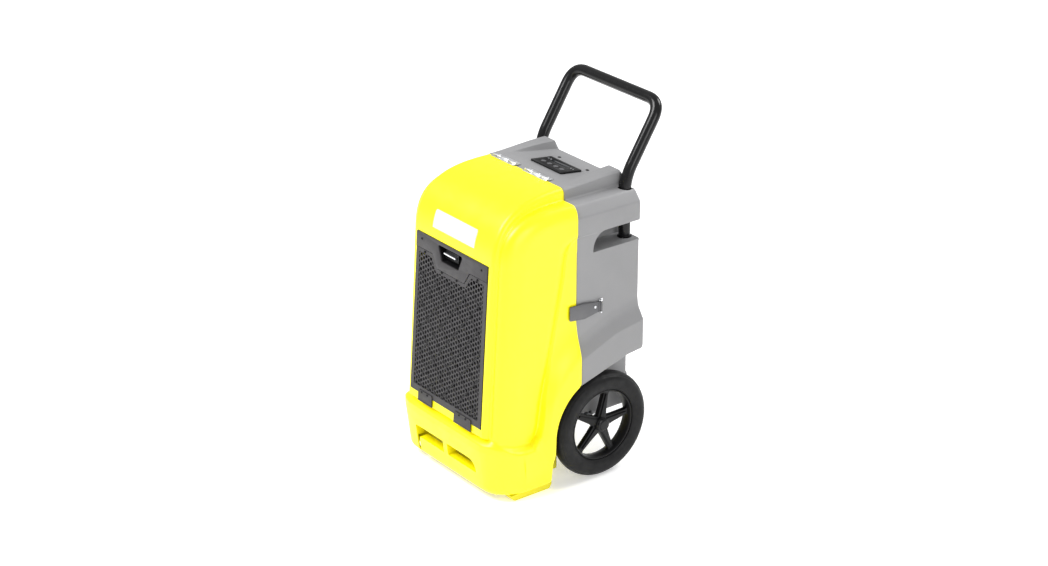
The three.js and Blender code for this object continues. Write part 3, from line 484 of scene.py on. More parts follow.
# ------------------------------------------------------------------ repeats
def tree(name, sizes_in):
    """A geometry-nodes tree with named inputs: {name: (socket type, value)}."""
    group = bpy.data.node_groups.new(name, "GeometryNodeTree")
    group.interface.new_socket("Geometry", in_out="INPUT", socket_type="NodeSocketGeometry")
    for label, (kind, value) in sizes_in.items():
        socket = group.interface.new_socket(label, in_out="INPUT", socket_type=kind)
        if kind != "NodeSocketMaterial" and kind != "NodeSocketObject":
            socket.default_value = value
    group.interface.new_socket("Geometry", in_out="OUTPUT", socket_type="NodeSocketGeometry")
    return group, group.nodes.new("NodeGroupInput"), group.nodes.new("NodeGroupOutput")


def identifier(group, label):
    for item in group.interface.items_tree:
        if item.name == label and item.in_out == "INPUT":
            return item.identifier
    raise KeyError(label)


def scatter(group, source, out, points, shape, turned_by=None):
    """Sets a shape on points, realizes the instances, sets the material, then out."""
    info = node(group, "GeometryNodeObjectInfo", {"Object": source.outputs[shape]})
    inputs = {"Points": points, "Instance": info.outputs["Geometry"], **(turned_by or {})}
    place = node(group, "GeometryNodeInstanceOnPoints", inputs)
    real = node(group, "GeometryNodeRealizeInstances", {"Geometry": place.outputs["Instances"]})
    inputs = {"Geometry": real.outputs["Geometry"], "Material": source.outputs["Finish"]}
    coat = node(group, "GeometryNodeSetMaterial", inputs)
    group.links.new(coat.outputs["Geometry"], out.inputs["Geometry"])
    return group


def on_points_tree():
    """Sets one shape on every point of a mesh, turned by the point's stored direction."""
    group, source, out = tree("shape_on_points", {
        "Shape": ("NodeSocketObject", None),
        "Size": ("NodeSocketFloat", 1.0),
        "Finish": ("NodeSocketMaterial", None),
    })
    facing = node(group, "GeometryNodeInputNamedAttribute", {"Name": "facing"},
                  data_type="FLOAT_VECTOR")
    align = node(group, "FunctionNodeAlignRotationToVector",
                 {"Vector": facing.outputs["Attribute"]}, axis="Z")
    turned_by = {"Rotation": align.outputs["Rotation"], "Scale": source.outputs["Size"]}
    return scatter(group, source, out, source.outputs["Geometry"], "Shape", turned_by)


def run_tree(carrier, group, shape, values):
    """Runs a node tree on a mesh with its input values, then drops the shape it repeats."""
    modifier = carrier.modifiers.new("repeat", "NODES")
    modifier.node_group = group
    for label, value in values.items():
        modifier[identifier(group, label)] = value
    baked(carrier)
    bpy.data.objects.remove(shape)
    return carrier


def repeated(name, shape, spots, finish, size=1.0):
    """One mesh of a small shape at every (point, direction) spot."""
    points = [Vector(p) for p, _ in spots]
    carrier = raw(name, points, [])
    facing = carrier.data.attributes.new("facing", "FLOAT_VECTOR", "POINT")
    for item, (_, direction) in zip(facing.data, spots):
        item.vector = Vector(direction).normalized()
    group = bpy.data.node_groups.get("shape_on_points") or on_points_tree()
    values = {"Shape": shape, "Size": size, "Finish": FINISH[finish]}
    return run_tree(carrier, group, shape, values)


def screw_shape(radius, height, recess=True):
    """A domed screw head with a cross recess, about the Z axis, at the origin."""
    profile = [(0, height), (radius * 0.55, height * 0.92), (radius * 0.88, height * 0.55),
               (radius, 0.0), (radius * 0.96, -0.6), (0, -0.6)]
    head = turned(profile, "z", (0, 0, 0), 20)
    if recess:
        for low, high in (((-radius * 0.5, -radius * 0.12), (radius * 0.5, radius * 0.12)),
                          ((-radius * 0.12, -radius * 0.5), (radius * 0.12, radius * 0.5))):
            carve(head, block((*low, height * 0.35), (*high, height * 2)))
    return head


# ------------------------------------------------------------------ front cover
def bezier(points, count=600):
    a, b, c, d = (Vector(p) for p in points)
    curve = []
    for i in range(count + 1):
        t = i / count
        curve.append(a * (1 - t) ** 3 + b * 3 * t * (1 - t) ** 2 + c * 3 * t * t * (1 - t) + d * t ** 3)
    return curve


def reach_of(curve):
    """Distance from the fan's centre to a curve, as a function of the angle up from the front."""
    table = [(math.atan2(p.y - FAN_Z, SEAM_Y - p.x), math.hypot(p.y - FAN_Z, SEAM_Y - p.x))
             for p in curve]

    def reach(angle):
        for (a, r), (b, s) in zip(table, table[1:]):
            if b >= angle:
                return mix(r, s, (angle - a) / max(1e-9, b - a))
        return table[-1][1]
    return reach


CROWN = reach_of(bezier([(-220.3, FAN_Z), (-213.8, 660), (-159.5, 701.5), (SEAM_Y, 698.5)]))
SHOULDER = reach_of(bezier([(-208, FAN_Z), (-203, 650), (-150, 680), (SEAM_Y, 671)]))
DOOR_EDGE = ((175.6, 136.4), (FAN_Z, 133.9))  # height and half-width of the door's opening
WINDOW = (60.0, 90.0, 7.7, 115.0)  # grab windows: low, top, inner and outer edge
NOTCH_X = 104.0


def rear_edge(z):
    if z >= 245:
        return SEAM_Y
    if z > AXLE_Z:
        return AXLE_Y - math.sqrt(ARCH_R ** 2 - (z - AXLE_Z) ** 2)
    return mix(-94, -90, (z - BASE_Z) / (AXLE_Z - BASE_Z))


def strip_half(y, z):
    """Half-width of the side behind the step: flat, then out to the arch over the wheel."""
    lip = 155 + 0.26 * (z - 165)
    slope = 25 + 0.27 * max(0, z - 235)
    away = math.hypot(y - AXLE_Y, z - AXLE_Z)
    flat = mix(203, SIDE_HALF, smooth((z - 130) / 60))
    return mix(flat, FLARE_HALF, smooth((lip + slope - away) / slope))


def step_y(z):
    """Where the moulded step runs down the side."""
    line = [(120, -139.6), (128, -139.6), (144.5, -125), (166, -118), (233, -108), (305, -93),
            (511, -52.5), (553, -46.5),
            (583, -44)]
    for (a, y), (b, w) in zip(line, line[1:]):
        if z <= b:
            return mix(y, w, max(0.0, (z - a) / (b - a)))
    return line[-1][1]


def cover_heights():
    low = [15.0, 15.3, 16.2, 18, 21, 25, 29, 36, 44, 52, 60, 66, 72, 77, 81, 84.5, 87, 89, 90, 94,
           100, 106, 111]
    ledge = [114 + 2.2 * i for i in range(22)]
    high = steps(164, 175.6, 3) + steps(175.6, FAN_Z, 58)
    return low + ledge + high


def front_section(z):
    seam = {"out": (-1.0, 0.0), "z": z, "low": z < 200}
    seam["pad"] = SEAM_Y + 220.3 + math.tan(DOOR_LEAN) * (FAN_Z - z)
    seam["valley"] = SEAM_Y + 208 + 0.058 * (FAN_Z - z)
    foot = smooth((z - 151) / 7)
    seam["pad"] = mix(seam["valley"], seam["pad"], foot)
    seam.update(pad_half=150.0, flat_half=156.0, side_half=183.0, side_drop=55.0)
    seam["step"] = SEAM_Y - step_y(z)
    seam["end"] = SEAM_Y - rear_edge(z)
    return seam


def fan_section(angle):
    turn = angle / (math.pi / 2)
    return {
        "out": (-math.cos(angle), math.sin(angle)), "z": FAN_Z, "low": False,
        "pad": CROWN(angle), "valley": SHOULDER(angle),
        "pad_half": mix(150, 138.5, smooth(turn)), "flat_half": mix(156, 172, turn * turn),
        "side_half": mix(183, SHOULDER_HALF, turn ** 1.5), "side_drop": mix(55, 34, turn),
        "step": mix(24.5, 32, turn * turn), "end": 0.0,
    }


def corner_reach(x, flat, side, front, drop):
    """Reach of a front with an elliptical corner, at x."""
    if x <= flat:
        return front
    t = min(1.0, (x - flat) / (side - flat))
    return front - drop * (1 - math.sqrt(max(0.0, 1 - t * t)))


def cover_columns(s):
    """Half a section from the middle to the rear edge, as (x, reach)."""
    z = s["z"]
    depth = s["pad"] - s["valley"]
    fillet = min(4.0, depth / 3)
    edge = min(12.0, max(0.1, depth - fillet))
    half = s["pad_half"]
    (low_z, low_x), (top_z, top_x) = DOOR_EDGE
    door = min(half - 13, mix(low_x, top_x, min(1, (z - low_z) / (top_z - low_z))))
    window = WINDOW[3]
    xs = [0.0, WINDOW[2]] + steps(WINDOW[2], NOTCH_X, 9) + [window] + [door]
    profile = [(x, 1.0, 0.0) for x in xs + steps(door, half - 12, 1)]
    for a in steps(0, math.pi / 2, 8):
        profile.append((half - 12 + 12 * math.sin(a), 1.0, -edge * (1 - math.cos(a))))
    for a in steps(0, math.pi / 2, 5):
        profile.append((half + 4 * (1 - math.cos(a)), 0.0, fillet * (1 - math.sin(a))))
    profile += [(x, 0.0, 0.0) for x in steps(half + 4, s["flat_half"] + 0.5, 3)]
    upper = [(x, (s["pad"] if on else s["valley"]) + extra) for x, on, extra in profile]
    last_x = upper[-1][0]
    side, drop, flat = s["side_half"], s["side_drop"], s["flat_half"]
    valley = s["valley"]
    for a in steps(math.asin((last_x - flat) / (side - flat)), math.pi / 2, 16):
        upper.append((mix(flat, side, math.sin(a)), valley - drop * (1 - math.cos(a))))
    inner = max(s["step"], s["end"] + 4)
    outer = min(inner + 8, valley - drop - 1)
    for r in steps(valley - drop, outer, 5):
        upper.append((side, r))

    def strip(reach):
        y = SEAM_Y + s["out"][0] * reach
        return strip_half(y, z + s["out"][1] * reach)
    for t in steps(0, 1, 9):
        groove = 1.6 * math.exp(-((t - 0.32) / 0.2) ** 2) - 0.5 * math.exp(-((t - 0.85) / 0.18) ** 2)
        reach = mix(outer, inner, t)
        upper.append((mix(side, strip(reach), smooth((t - 0.2) / 0.8)) - groove, reach))
    for r in steps(inner, s["end"], 14):
        upper.append((strip(r), r))
    return upper, len(profile)


def base_columns(s, upper, fronts):
    """The same columns on the bulging skirt."""
    z = s["z"]
    curl = 14 - math.sqrt(max(0.0, 196 - (29 - z) ** 2)) if z < 29 else 0.0
    front = mix(221, 234.5, min(1, (z - BASE_Z) / 110))
    side = mix(197, 203, (z - BASE_Z) / 126)
    flat, drop = 126.0, 77.0
    row = []
    for x, _ in upper[:fronts]:
        row.append((x, corner_reach(x, flat, side, front, drop) - curl))
    start = math.asin(min(1.0, (upper[fronts - 1][0] - flat) / (side - flat)))
    for a in steps(start, math.pi / 2, 16):
        row.append((mix(flat, side, math.sin(a)) - curl * math.sin(a),
                    front - drop * (1 - math.cos(a)) - curl * math.cos(a)))
    for _, reach in upper[fronts + 16:]:
        arch = strip_half(SEAM_Y - reach, z)
        row.append((max(side, mix(side, arch, smooth((z - 40) / 60))) - curl,
                    min(reach, front - drop - curl)))
    return row


def cover_row(s):
    upper, fronts = cover_columns(s)
    if s["low"]:
        z = s["z"]
        base = base_columns(s, upper, fronts)
        row = []
        for j, ((x, r), (bx, br)) in enumerate(zip(upper, base)):
            round_corner = min(1.0, max(0.0, (j - fronts) / 16))
            top = mix(154, 134, smooth(round_corner))
            t = smooth((top - z) / mix(14, 17, round_corner))
            row.append((mix(x, bx, t), mix(r, br, t)))
        upper = row
    out, height = s["out"], s["z"]
    return [(x, SEAM_Y + out[0] * r, height + out[1] * r) for x, r in upper]


def shape_window(x, z, right):
    """Moves a point beside the right grab window on to its rounded corner."""
    if not right or not 66 < z <= 130:
        return x
    if z <= WINDOW[1]:
        edge = 91 + math.sqrt(max(0.0, 24 ** 2 - (z - 66) ** 2))
    else:
        edge = mix(91, WINDOW[3], smooth((z - WINDOW[1]) / 34))
    if x <= WINDOW[3]:
        return x * mix(1.0, edge / WINDOW[3], smooth((x - 40) / (WINDOW[3] - 40)))
    return x - (WINDOW[3] - edge) * (1 - smooth((x - WINDOW[3]) / 22))


def build_cover():
    sections = [front_section(z) for z in cover_heights()]
    angles = steps(0, math.radians(89.3), 46) + [math.pi / 2]
    sections += [fan_section(a) for a in angles]
    rows = [cover_row(s) for s in sections]
    rows[-1] = [(x, y, z - 1.3 if z > FAN_Z + 40 else z) for x, y, z in rows[-1]]
    verts, full = [], []
    for row in rows:
        inset = row[:-1] + [(row[-1][0] - 1.2, row[-1][1], row[-1][2])]
        left = [(-x, y, z) for x, y, z in reversed(inset[1:])]
        right = [(shape_window(x, z, True), y, z) for x, y, z in inset]
        full.append(left + right)
    width = len(full[0])
    for row in full:
        verts += row
    middle = width // 2

    def is_open(i, j):
        zs = [sections[k]["z"] for k in (i, i + 1)]
        if sections[i + 1]["out"][1]:
            return False
        columns = [j - middle, j + 1 - middle]
        near, far = sorted(abs(c) for c in columns)
        if zs[0] >= 175.59 and far <= 12:
            return True
        if zs[0] >= 59.9 and zs[1] <= 90.1 and near >= 1 and far <= 11:
            return True
        return columns[1] <= 0 and zs[1] <= 60.1 and near == 10 and far == 11
    faces = []
    for i in range(len(full) - 1):
        for j in range(width - 1):
            if not is_open(i, j):
                a = i * width + j
                faces.append((a, a + 1, a + width + 1, a + width))
    piece = tidy(raw("cover", verts, faces), outward=False)
    work = bmesh.new()
    work.from_mesh(piece.data)
    rims = [e for e in work.edges if e.is_boundary
            and all(abs(v.co.x) < 0.1372 and v.co.y < -0.2 and (v.co.z > 0.058) for v in e.verts)]
    grown = bmesh.ops.extrude_edge_only(work, edges=rims)
    moved = [g for g in grown["geom"] if isinstance(g, bmesh.types.BMVert)]
    for v in moved:
        v.co.y += 0.022
    work.to_mesh(piece.data)
    work.free()
    wall = piece.modifiers.new("wall", "SOLIDIFY")
    wall.thickness = sizes().wall
    wall.offset = -1
    baked(piece)
    return piece


class DEHUMIDIFIER_OT_cover(bpy.types.Operator):
    """Builds the moulded front cover with its skirt, grab windows and door opening"""

    bl_idname = "dehumidifier.cover"
    bl_label = "Front Cover"

    def execute(self, context):
        done(build_cover(), "cover_shell", "cover", "cover", ("front_cover",), 50)
        return {"FINISHED"}


class DEHUMIDIFIER_OT_badge(bpy.types.Operator):
    """Builds the blank plate that lies on the curve above the door"""

    bl_idname = "dehumidifier.badge"
    bl_label = "Blank Plate"

    def execute(self, context):
        outline = rounded(rect(-77, 584, 77, 627), 2.5, 3)
        xs = sorted({round(x, 3) for x, _ in outline} | {-60, -40, -20, 0, 20, 40, 60})
        rows = []
        for z in steps(583.999, 627, 14):
            trim = max(0.0, 2.5 - min(z - 584, 627 - z))
            half = 77 - (2.5 - math.sqrt(max(0, 2.5 ** 2 - trim ** 2)))
            angle = next(a for a in steps(0, 1.2, 2400) if CROWN(a) * math.sin(a) + FAN_Z >= z)
            reach = CROWN(angle)
            rows.append([(max(-half, min(half, x)), SEAM_Y - math.cos(angle) * (reach + 1.6),
                          FAN_Z + math.sin(angle) * (reach + 1.6))
                         for x in xs])
        width = len(xs)
        faces = [(i * width + j, i * width + j + 1, (i + 1) * width + j + 1, (i + 1) * width + j)
                 for i in range(len(rows) - 1) for j in range(width - 1)]
        plate = tidy(raw("plate", [p for row in rows for p in row], faces), outward=False)
        wall = plate.modifiers.new("wall", "SOLIDIFY")
        wall.thickness = 2.4 * MM
        wall.offset = -1
        baked(plate)
        softened(plate, 0.5, 2, 50)
        done(plate, "blank_badge", "plate", "cover", ("name_plate",), 40)
        return {"FINISHED"}


# ------------------------------------------------------------------ rear housing
def deck_z(y):
    return 698 - math.tan(PANEL_TILT) * max(0, y - 15)


def rail_z(y):
    return mix(698, 704, smooth((y - SEAM_Y) / 140))


def kneed(y, knee_y, seam_z, knee_z, rear_z):
    """A height that climbs from the seam to the knee, then more gently to the rear."""
    if y < knee_y:
        return mix(seam_z, knee_z, (y - SEAM_Y) / (knee_y - SEAM_Y))
    return mix(knee_z, rear_z, (y - knee_y) / (REAR_Y - knee_y))


def ridge_z(y):
    return kneed(y, 80, 308, 348, 362)


def flare_low_z(y):
    return kneed(y, 115, 243, 283, 288)


def rear_cap(y):
    """Highest point of a section: the top falls away at the back."""
    line = [(137, 720), (141, 703), (149, 684), (157, 664), (REAR_Y, 652)]
    if y <= line[0][0]:
        return 999
    for (a, z), (b, w) in zip(line, line[1:]):
        if y <= b:
            return mix(z, w, (y - a) / (b - a))
    return 652


def housing_outline(y, i, cap):
    foot = mix(107, 93, max(0, y - 15) / 128)
    ridge, low, rail = ridge_z(y), flare_low_z(y), rail_z(y)
    half = [
        ((foot + i, deck_z(y) - i), 4), ((foot + 4 + i, rail - i), 3), ((134 - i * 0.4, rail - i), 4),
        ((139.5 - i, rail - 5 - i * 0.5), 5), ((141 - i, 671 - i), 7), ((171 - i * 0.4, 667 - i), 14),
        ((SHOULDER_HALF - i, 642 - i * 0.4), 12), ((SHOULDER_HALF - i, 599 + i * 0.4), 2.5),
        ((SIDE_HALF - i, 595), 2.5), ((SIDE_HALF - i, ridge + 45),
                                      40), ((SIDE_HALF + 4 - i, ridge + 26 - i * 0.5), 30),
        ((FLARE_HALF - i, ridge - i * 0.5), 7), ((FLARE_HALF - i, low + i),
                                                 8), ((WELL_HALF - i, low + i), 8),
        ((WELL_HALF - i, BELLY_Z + i), 12),
    ]
    right = [(x, min(z, cap)) for (x, z), _ in half]
    radii = [r for _, r in half]
    left = [(-x, z) for x, z in reversed(right)]
    return right + left, radii + radii[::-1]


def housing_loft(stations, segments=6):
    rows = []
    for y, inset, cap in stations:
        outline, radii = housing_outline(y, inset, cap)
        rows.append([(x, y, z) for x, z in rounded(outline, radii, segments)])
    return lofted(rows)


def pocket_outline(grow, deep=0.0):
    """The finger pocket seen from the side: arched at the front, open at the back."""
    arc = []
    for t in [0] + steps(0, math.pi / 2, 12):
        arc.append((68 - 42 * math.cos(t) - grow, mix(551 - grow, 598 + grow, math.sin(t) ** 0.9)))
    back = REAR_Y + 6 - deep
    return rounded(arc + [(back, 598 + grow), (back, 551 - grow)], [0.5] * 13 + [0.5, 0.5], 2)


def build_housing():
    seam = SEAM_Y + 0.4
    ys = [seam, seam + 0.5, seam + 1.3, seam + 4]
    ys += steps(seam + 4, 15, 5) + steps(15, 137, 20) + steps(137, 153, 8)
    stations = []
    for y in ys:
        inset = 1.2 * (1 - math.sqrt(max(0,
                                         1 - (1 - (y - seam) / 1.3) ** 2))) if y < seam + 1.3 else 0
        stations.append((y, inset, rear_cap(y)))
    for a in steps(0, math.pi / 2, 7):
        y = 153 + 8 * math.sin(a)
        stations.append((y, 8 * (1 - math.cos(a)), rear_cap(y)))
    shell = housing_loft(stations)
    core = housing_loft([(y, 4, rear_cap(y + 4) - 4 if y > 130 else 999)
                         for y in [SEAM_Y - 3] + steps(0, 133, 10) + steps(133, 157, 8)], 3)
    carve(shell, core)
    carve(shell, block((-149, AXLE_Y - 17, 125), (149, AXLE_Y + 17, 142)), "UNION")
    carve(shell, block((-300, AXLE_Y - 12, 100), (300, AXLE_Y + 12, 138)))
    for _, s in SIDES:
        a, b = sorted((s * 124, s * (SIDE_HALF - 1)))
        wall = [(min(y, REAR_Y - 3), z) for y, z in pocket_outline(4)]
        carve(shell, prism(wall, a, b, "x"), "UNION")
        a, b = sorted((s * 128, s * 205))
        carve(shell, prism(pocket_outline(0), a, b, "x"))
        carve(shell, rod(17, 0, 170, "z", (s * HANDLE_HALF, 142, 491), 40))
        carve(shell, rod(14.4, 0, 80, "z", (s * HANDLE_HALF, 142, 638), 40))
        carve(shell, turned([(0, 0), (15.5, 0), (19.5, 6), (0, 6)], "z",
                            (s * HANDLE_HALF, 142, 664), 40))
    carve(shell, prism(rounded(rect(-110, 330, 110, 540), 3, 3), REAR_Y - 14, REAR_Y + 5))
    carve(shell, prism(rounded(rect(-126, 219, -98, 243), 2, 3), REAR_Y - 14, REAR_Y + 5))
    carve(shell, rod(11, 0, 20, "y", (112, REAR_Y - 14, 180), 32))
    return shell


class DEHUMIDIFIER_OT_housing(bpy.types.Operator):
    """Builds the rear housing with its deck, shoulders, finger pockets and flares"""

    bl_idname = "dehumidifier.housing"
    bl_label = "Rear Housing"

    def execute(self, context):
        done(build_housing(), "housing_shell", "housing", "frame", ("rear_housing",), 32)
        return {"FINISHED"}


# ------------------------------------------------------------------ filter door
HEADER_SIDE = DOOR_HEIGHT - 36.4
HEADER_TONGUE = DOOR_HEIGHT - 66


def door_half(z):
    return mix(DOOR_HALF_LOW, DOOR_HALF_TOP, z / DOOR_HEIGHT)


def header_edge(drop):
    return [
        (-door_half(HEADER_SIDE), HEADER_SIDE - drop), (-69 - drop * 0.4, HEADER_SIDE - drop),
        (-51 - drop * 0.4, HEADER_TONGUE - drop), (51 + drop * 0.4, HEADER_TONGUE - drop),
        (69 + drop * 0.4, HEADER_SIDE - drop), (door_half(HEADER_SIDE), HEADER_SIDE - drop),
    ]


def pocket(grow, top=DOOR_HEIGHT - 8):
    low = DOOR_HEIGHT - 44
    outline = [(-36, low, -1), (28, low, 1), (42, top, 1), (-51, top, -1)]
    grown = [(x + side * grow, z + (grow if z == top else -grow)) for x, z, side in outline]
    return rounded(grown, 5, 4)


def field_tree():
    """Cells in staggered columns inside a frame, with a notch at the top for the header's tongue."""
    group, source, out = tree("perforated_field", {
        "Cell": ("NodeSocketObject", None),
        "Pitch": ("NodeSocketFloat", 0.0116),
        "Column": ("NodeSocketFloat", 0.009),
        "Half Width": ("NodeSocketFloat", 0.125),
        "Height": ("NodeSocketFloat", 0.3),
        "Tongue Half": ("NodeSocketFloat", 0.06),
        "Tongue Height": ("NodeSocketFloat", 0.03),
        "Finish": ("NodeSocketMaterial", None),
    })
    ports = source.outputs

    def calc(kind, a, b=None):
        return node(group, "ShaderNodeMath", {0: a, 1: b}, operation=kind).outputs["Value"]

    def position():
        where = node(group, "GeometryNodeInputPosition").outputs["Position"]
        parts = node(group, "ShaderNodeSeparateXYZ", {"Vector": where})
        return [parts.outputs[axis] for axis in "XYZ"]

    pitch, column, height = ports["Pitch"], ports["Column"], ports["Height"]
    across = calc("MULTIPLY", ports["Half Width"], 2)
    columns = calc("FLOOR", calc("DIVIDE", across, column))
    rows = calc("FLOOR", calc("DIVIDE", height, pitch))
    grid = node(group, "GeometryNodeMeshGrid", {
        "Size X": calc("MULTIPLY", calc("SUBTRACT", columns, 1), column),
        "Size Y": calc("MULTIPLY", calc("SUBTRACT", rows, 1), pitch),
        "Vertices X": columns,
        "Vertices Y": rows,
    })
    x, y, _ = position()
    index = calc("FLOOR", calc("DIVIDE", calc("ADD", x, across), column))
    shift = calc("MULTIPLY", calc("PINGPONG", index, 1), calc("MULTIPLY", pitch, 0.5))
    raised = calc("ADD", y, calc("MULTIPLY", height, 0.5))
    place = node(group, "ShaderNodeCombineXYZ", {"X": x, "Z": calc("ADD", raised, shift)})
    inputs = {"Geometry": grid.outputs["Mesh"], "Position": place.outputs["Vector"]}
    move = node(group, "GeometryNodeSetPosition", inputs)
    x, _, z = position()
    in_tongue = calc("LESS_THAN", calc("ABSOLUTE", x), ports["Tongue Half"])
    limit = calc("SUBTRACT", height, ports["Tongue Height"])
    drop = node(group, "GeometryNodeDeleteGeometry", {
        "Geometry": move.outputs["Geometry"],
        "Selection": calc("MULTIPLY", in_tongue, calc("GREATER_THAN", z, limit)),
    })
    return scatter(group, source, out, drop.outputs["Geometry"], "Cell")


def field_cell(pitch, column, hole, low, high):
    """A closed six-sided plate with a round hole; its sides meet its neighbours'."""
    corners = [(column / 1.5 * math.cos(a), pitch / math.sqrt(3) * math.sin(a))
               for a in steps(math.radians(-60), math.radians(300), 6)]
    edge = []
    for (x0, z0), (x1, z1) in zip(corners, corners[1:] + corners[:1]):
        edge += [(x0, z0), ((x0 + x1) / 2, (z0 + z1) / 2)]
    ring = []
    for x, z in edge:
        a = math.atan2(z, x)
        ring.append((hole / 2 * math.cos(a), hole / 2 * math.sin(a)))
    count = len(edge)
    points = [(x, y, z) for y in (low, high) for loop in (edge, ring) for x, z in loop]
    faces = []
    for k in range(count):
        n = (k + 1) % count
        for a, b in ((0, 1), (3, 2), (2, 0), (1, 3)):
            faces.append((a * count + k, a * count + n, b * count + n, b * count + k))
    return tidy(raw("cell", points, faces))


def build_field():
    chosen = sizes()
    pitch, column = chosen.cell_pitch, chosen.cell_column
    cell = field_cell(pitch / MM, column / MM, chosen.cell_hole / MM, 0.5, 2.0)
    seed = raw("field", [(0, 0, 0)], [])
    run_tree(seed, field_tree(), cell, {
        "Cell": cell, "Pitch": pitch, "Column": column, "Half Width": 0.1285, "Height": 0.3305,
        "Tongue Half": 0.0625, "Tongue Height": 0.026, "Finish": FINISH["door"],
    })
    seed.data.transform(DOOR_TO_WORLD_M @ Matrix.Translation((0, 0, 0.0125)))
    return seed


class DEHUMIDIFIER_OT_door(bpy.types.Operator):
    """Builds the filter door: header, perforated sheet, tabs, latch and screws"""

    bl_idname = "dehumidifier.door"
    bl_label = "Filter Door"

    def execute(self, context):
        outline = header_edge(0) + [(DOOR_HALF_TOP, DOOR_HEIGHT), (-DOOR_HALF_TOP, DOOR_HEIGHT)]
        header = prism(rounded(outline, [0.6, 4, 4, 4, 4, 0.6, 3, 3], 4), -1, 3,
                       place=DOOR_TO_WORLD)
        carve(header, prism(pocket(0), -3, 5, place=DOOR_TO_WORLD))
        softened(header, 0.7, 2, 45)
        # Painted shade: the pull pocket's walls take the black finish, standing in for the shade inside
        # the pocket.
        cup = prism(pocket(2.5), 3, 24, place=DOOR_TO_WORLD)
        carve(cup, prism(pocket(0), 1, 21.5, place=DOOR_TO_WORLD))
        done(cup, "door_pull_cup", "black", "filter_door", (), 35)
        done(header, "door_header_sheet", "door", "filter_door", ("door_header",), 35)

        sheet = prism(rounded([(-DOOR_HALF_LOW, 0), (DOOR_HALF_LOW, 0)] + header_edge(1.4)[::-1],
                              [3, 3, 0.6, 4, 4, 4, 4, 0.6], 4), 0, 3, place=DOOR_TO_WORLD)
        inner = [(-123, 16), (123, 16), (121, 340), (75, 340), (56, 311), (-56, 311), (-75, 340),
                 (-121, 340)]
        carve(sheet, prism(rounded(inner, 3, 3), -2, 5, place=DOOR_TO_WORLD))
        softened(sheet, 0.5, 1, 45)
        ribs = []
        for k in range(-5, 8):
            for direction in (1, -1):
                start, end = rib_span(k * 62.0, direction)
                if start is None:
                    continue
                ribs.append(flat_rib(start, end))
        frame_sheet = merged("grille", [sheet, build_field()])
        done(frame_sheet, "door_perforated_sheet", "door", "filter_door", ("door_grille",), 35)
        done(merged("ribs", ribs), "door_grille_ribs", "black", "filter_door", (), 35)

        for side, x0, x1 in (("left", -101, -48), ("right", 38, 101)):
            leaf = prism(rounded(rect(x0, -17, x1, 9), [1, 1, 4, 4], 3), -2.3, -0.3,
                         place=DOOR_TO_WORLD)
            roll = rod(2, 0, x1 - x0, "x", (x0, -1, -17), 16, DOOR_TO_WORLD)
            carve(leaf, roll, "UNION")
            softened(leaf, 0.4, 2, 50)
            done(leaf, f"door_hinge_tab_{side}", "door", "filter_door", (f"door_tab_{side}",), 40)

        lip = prism(rounded([(-33, 2), (11, 2), (9, 10), (-31, 10)], 1.5, 3), 361.5, 365, "z",
                    DOOR_TO_WORLD)
        done(softened(lip, 0.6, 2, 40), "door_latch_lip", "steel", "door_latch", ("door_latch",),
             40)
        plate = block((-36, 10, 350), (14, 13, 370), DOOR_TO_WORLD)
        carve(plate, block((-32, 9, 357), (10, 19, 365), DOOR_TO_WORLD), "UNION")
        done(softened(plate, 0.5, 2, 40), "door_latch_plate", "black", "door_latch", (), 40)

        out = DOOR_TO_WORLD.to_3x3() @ Vector((0, -1, 0))
        heads = [(-99, 344), (-33, 317), (23, 317), (98.5, 344), (-112, 372), (112, 372)]
        spots = [(DOOR_TO_WORLD @ Vector((x, -1.0, z)), out) for x, z in heads]
        spots += [(DOOR_TO_WORLD @ Vector((x, -2.3, z)), out)
                  for x, z in ((-87, 5), (-66, 5), (57.6, 5), (82, 5))]
        screws = repeated("screws", screw_shape(3.0, 1.5), spots, "black")
        done(screws, "door_screws", "black", "filter_door", (), 35)
        return {"FINISHED"}


def rib_span(offset, direction):
    """Ends of one stiffening rib across the field, or (None, None) where it misses it."""
    hits = []
    low, high, half = 17.0, 306.0, 121.0
    slope = 1.18 * direction
    for z in (low, high):
        x = (z - 160 - offset) / slope
        if -half <= x <= half:
            hits.append((x, z))
    for x in (-half, half):
        z = 160 + offset + slope * x
        if low < z < high:
            hits.append((x, z))
    if len(hits) < 2:
        return None, None
    return min(hits), max(hits)


def flat_rib(start, end, half=1.2):
    along = Vector((end[0] - start[0], end[1] - start[1])).normalized()
    side = Vector((-along.y, along.x)) * half
    a, b = Vector(start), Vector(end)
    return prism([tuple(a - side), tuple(b - side), tuple(b + side), tuple(a + side)], 0.0, 2.4,
                 place=DOOR_TO_WORLD)


# ------------------------------------------------------------------ wheels
def wheel_place(s):
    turn = Matrix.Rotation(math.pi, 4, "Z") if s < 0 else Matrix.Identity(4)
    return Matrix.Translation((s * WHEEL_X, AXLE_Y, AXLE_Z)) @ turn


def tyre_profile():
    wall = [(86.3, 0), (86.3, 15.5), (88.5, 17.8), (93, 19.6), (99, 21.3), (105, 22), (111, 21.7)]
    tread = [(116, 20.2), (119.2, 17.6), (120.4, 15.6), (121.6, 15.4), (123.4, 13.2), (125.2, 10),
             (126.4, 6.2), (126.9, 2.4), (127, 0)]
    half = wall + tread
    outline = half + [(r, -t) for r, t in reversed(half[1:-1])]
    return outline + [outline[0]]


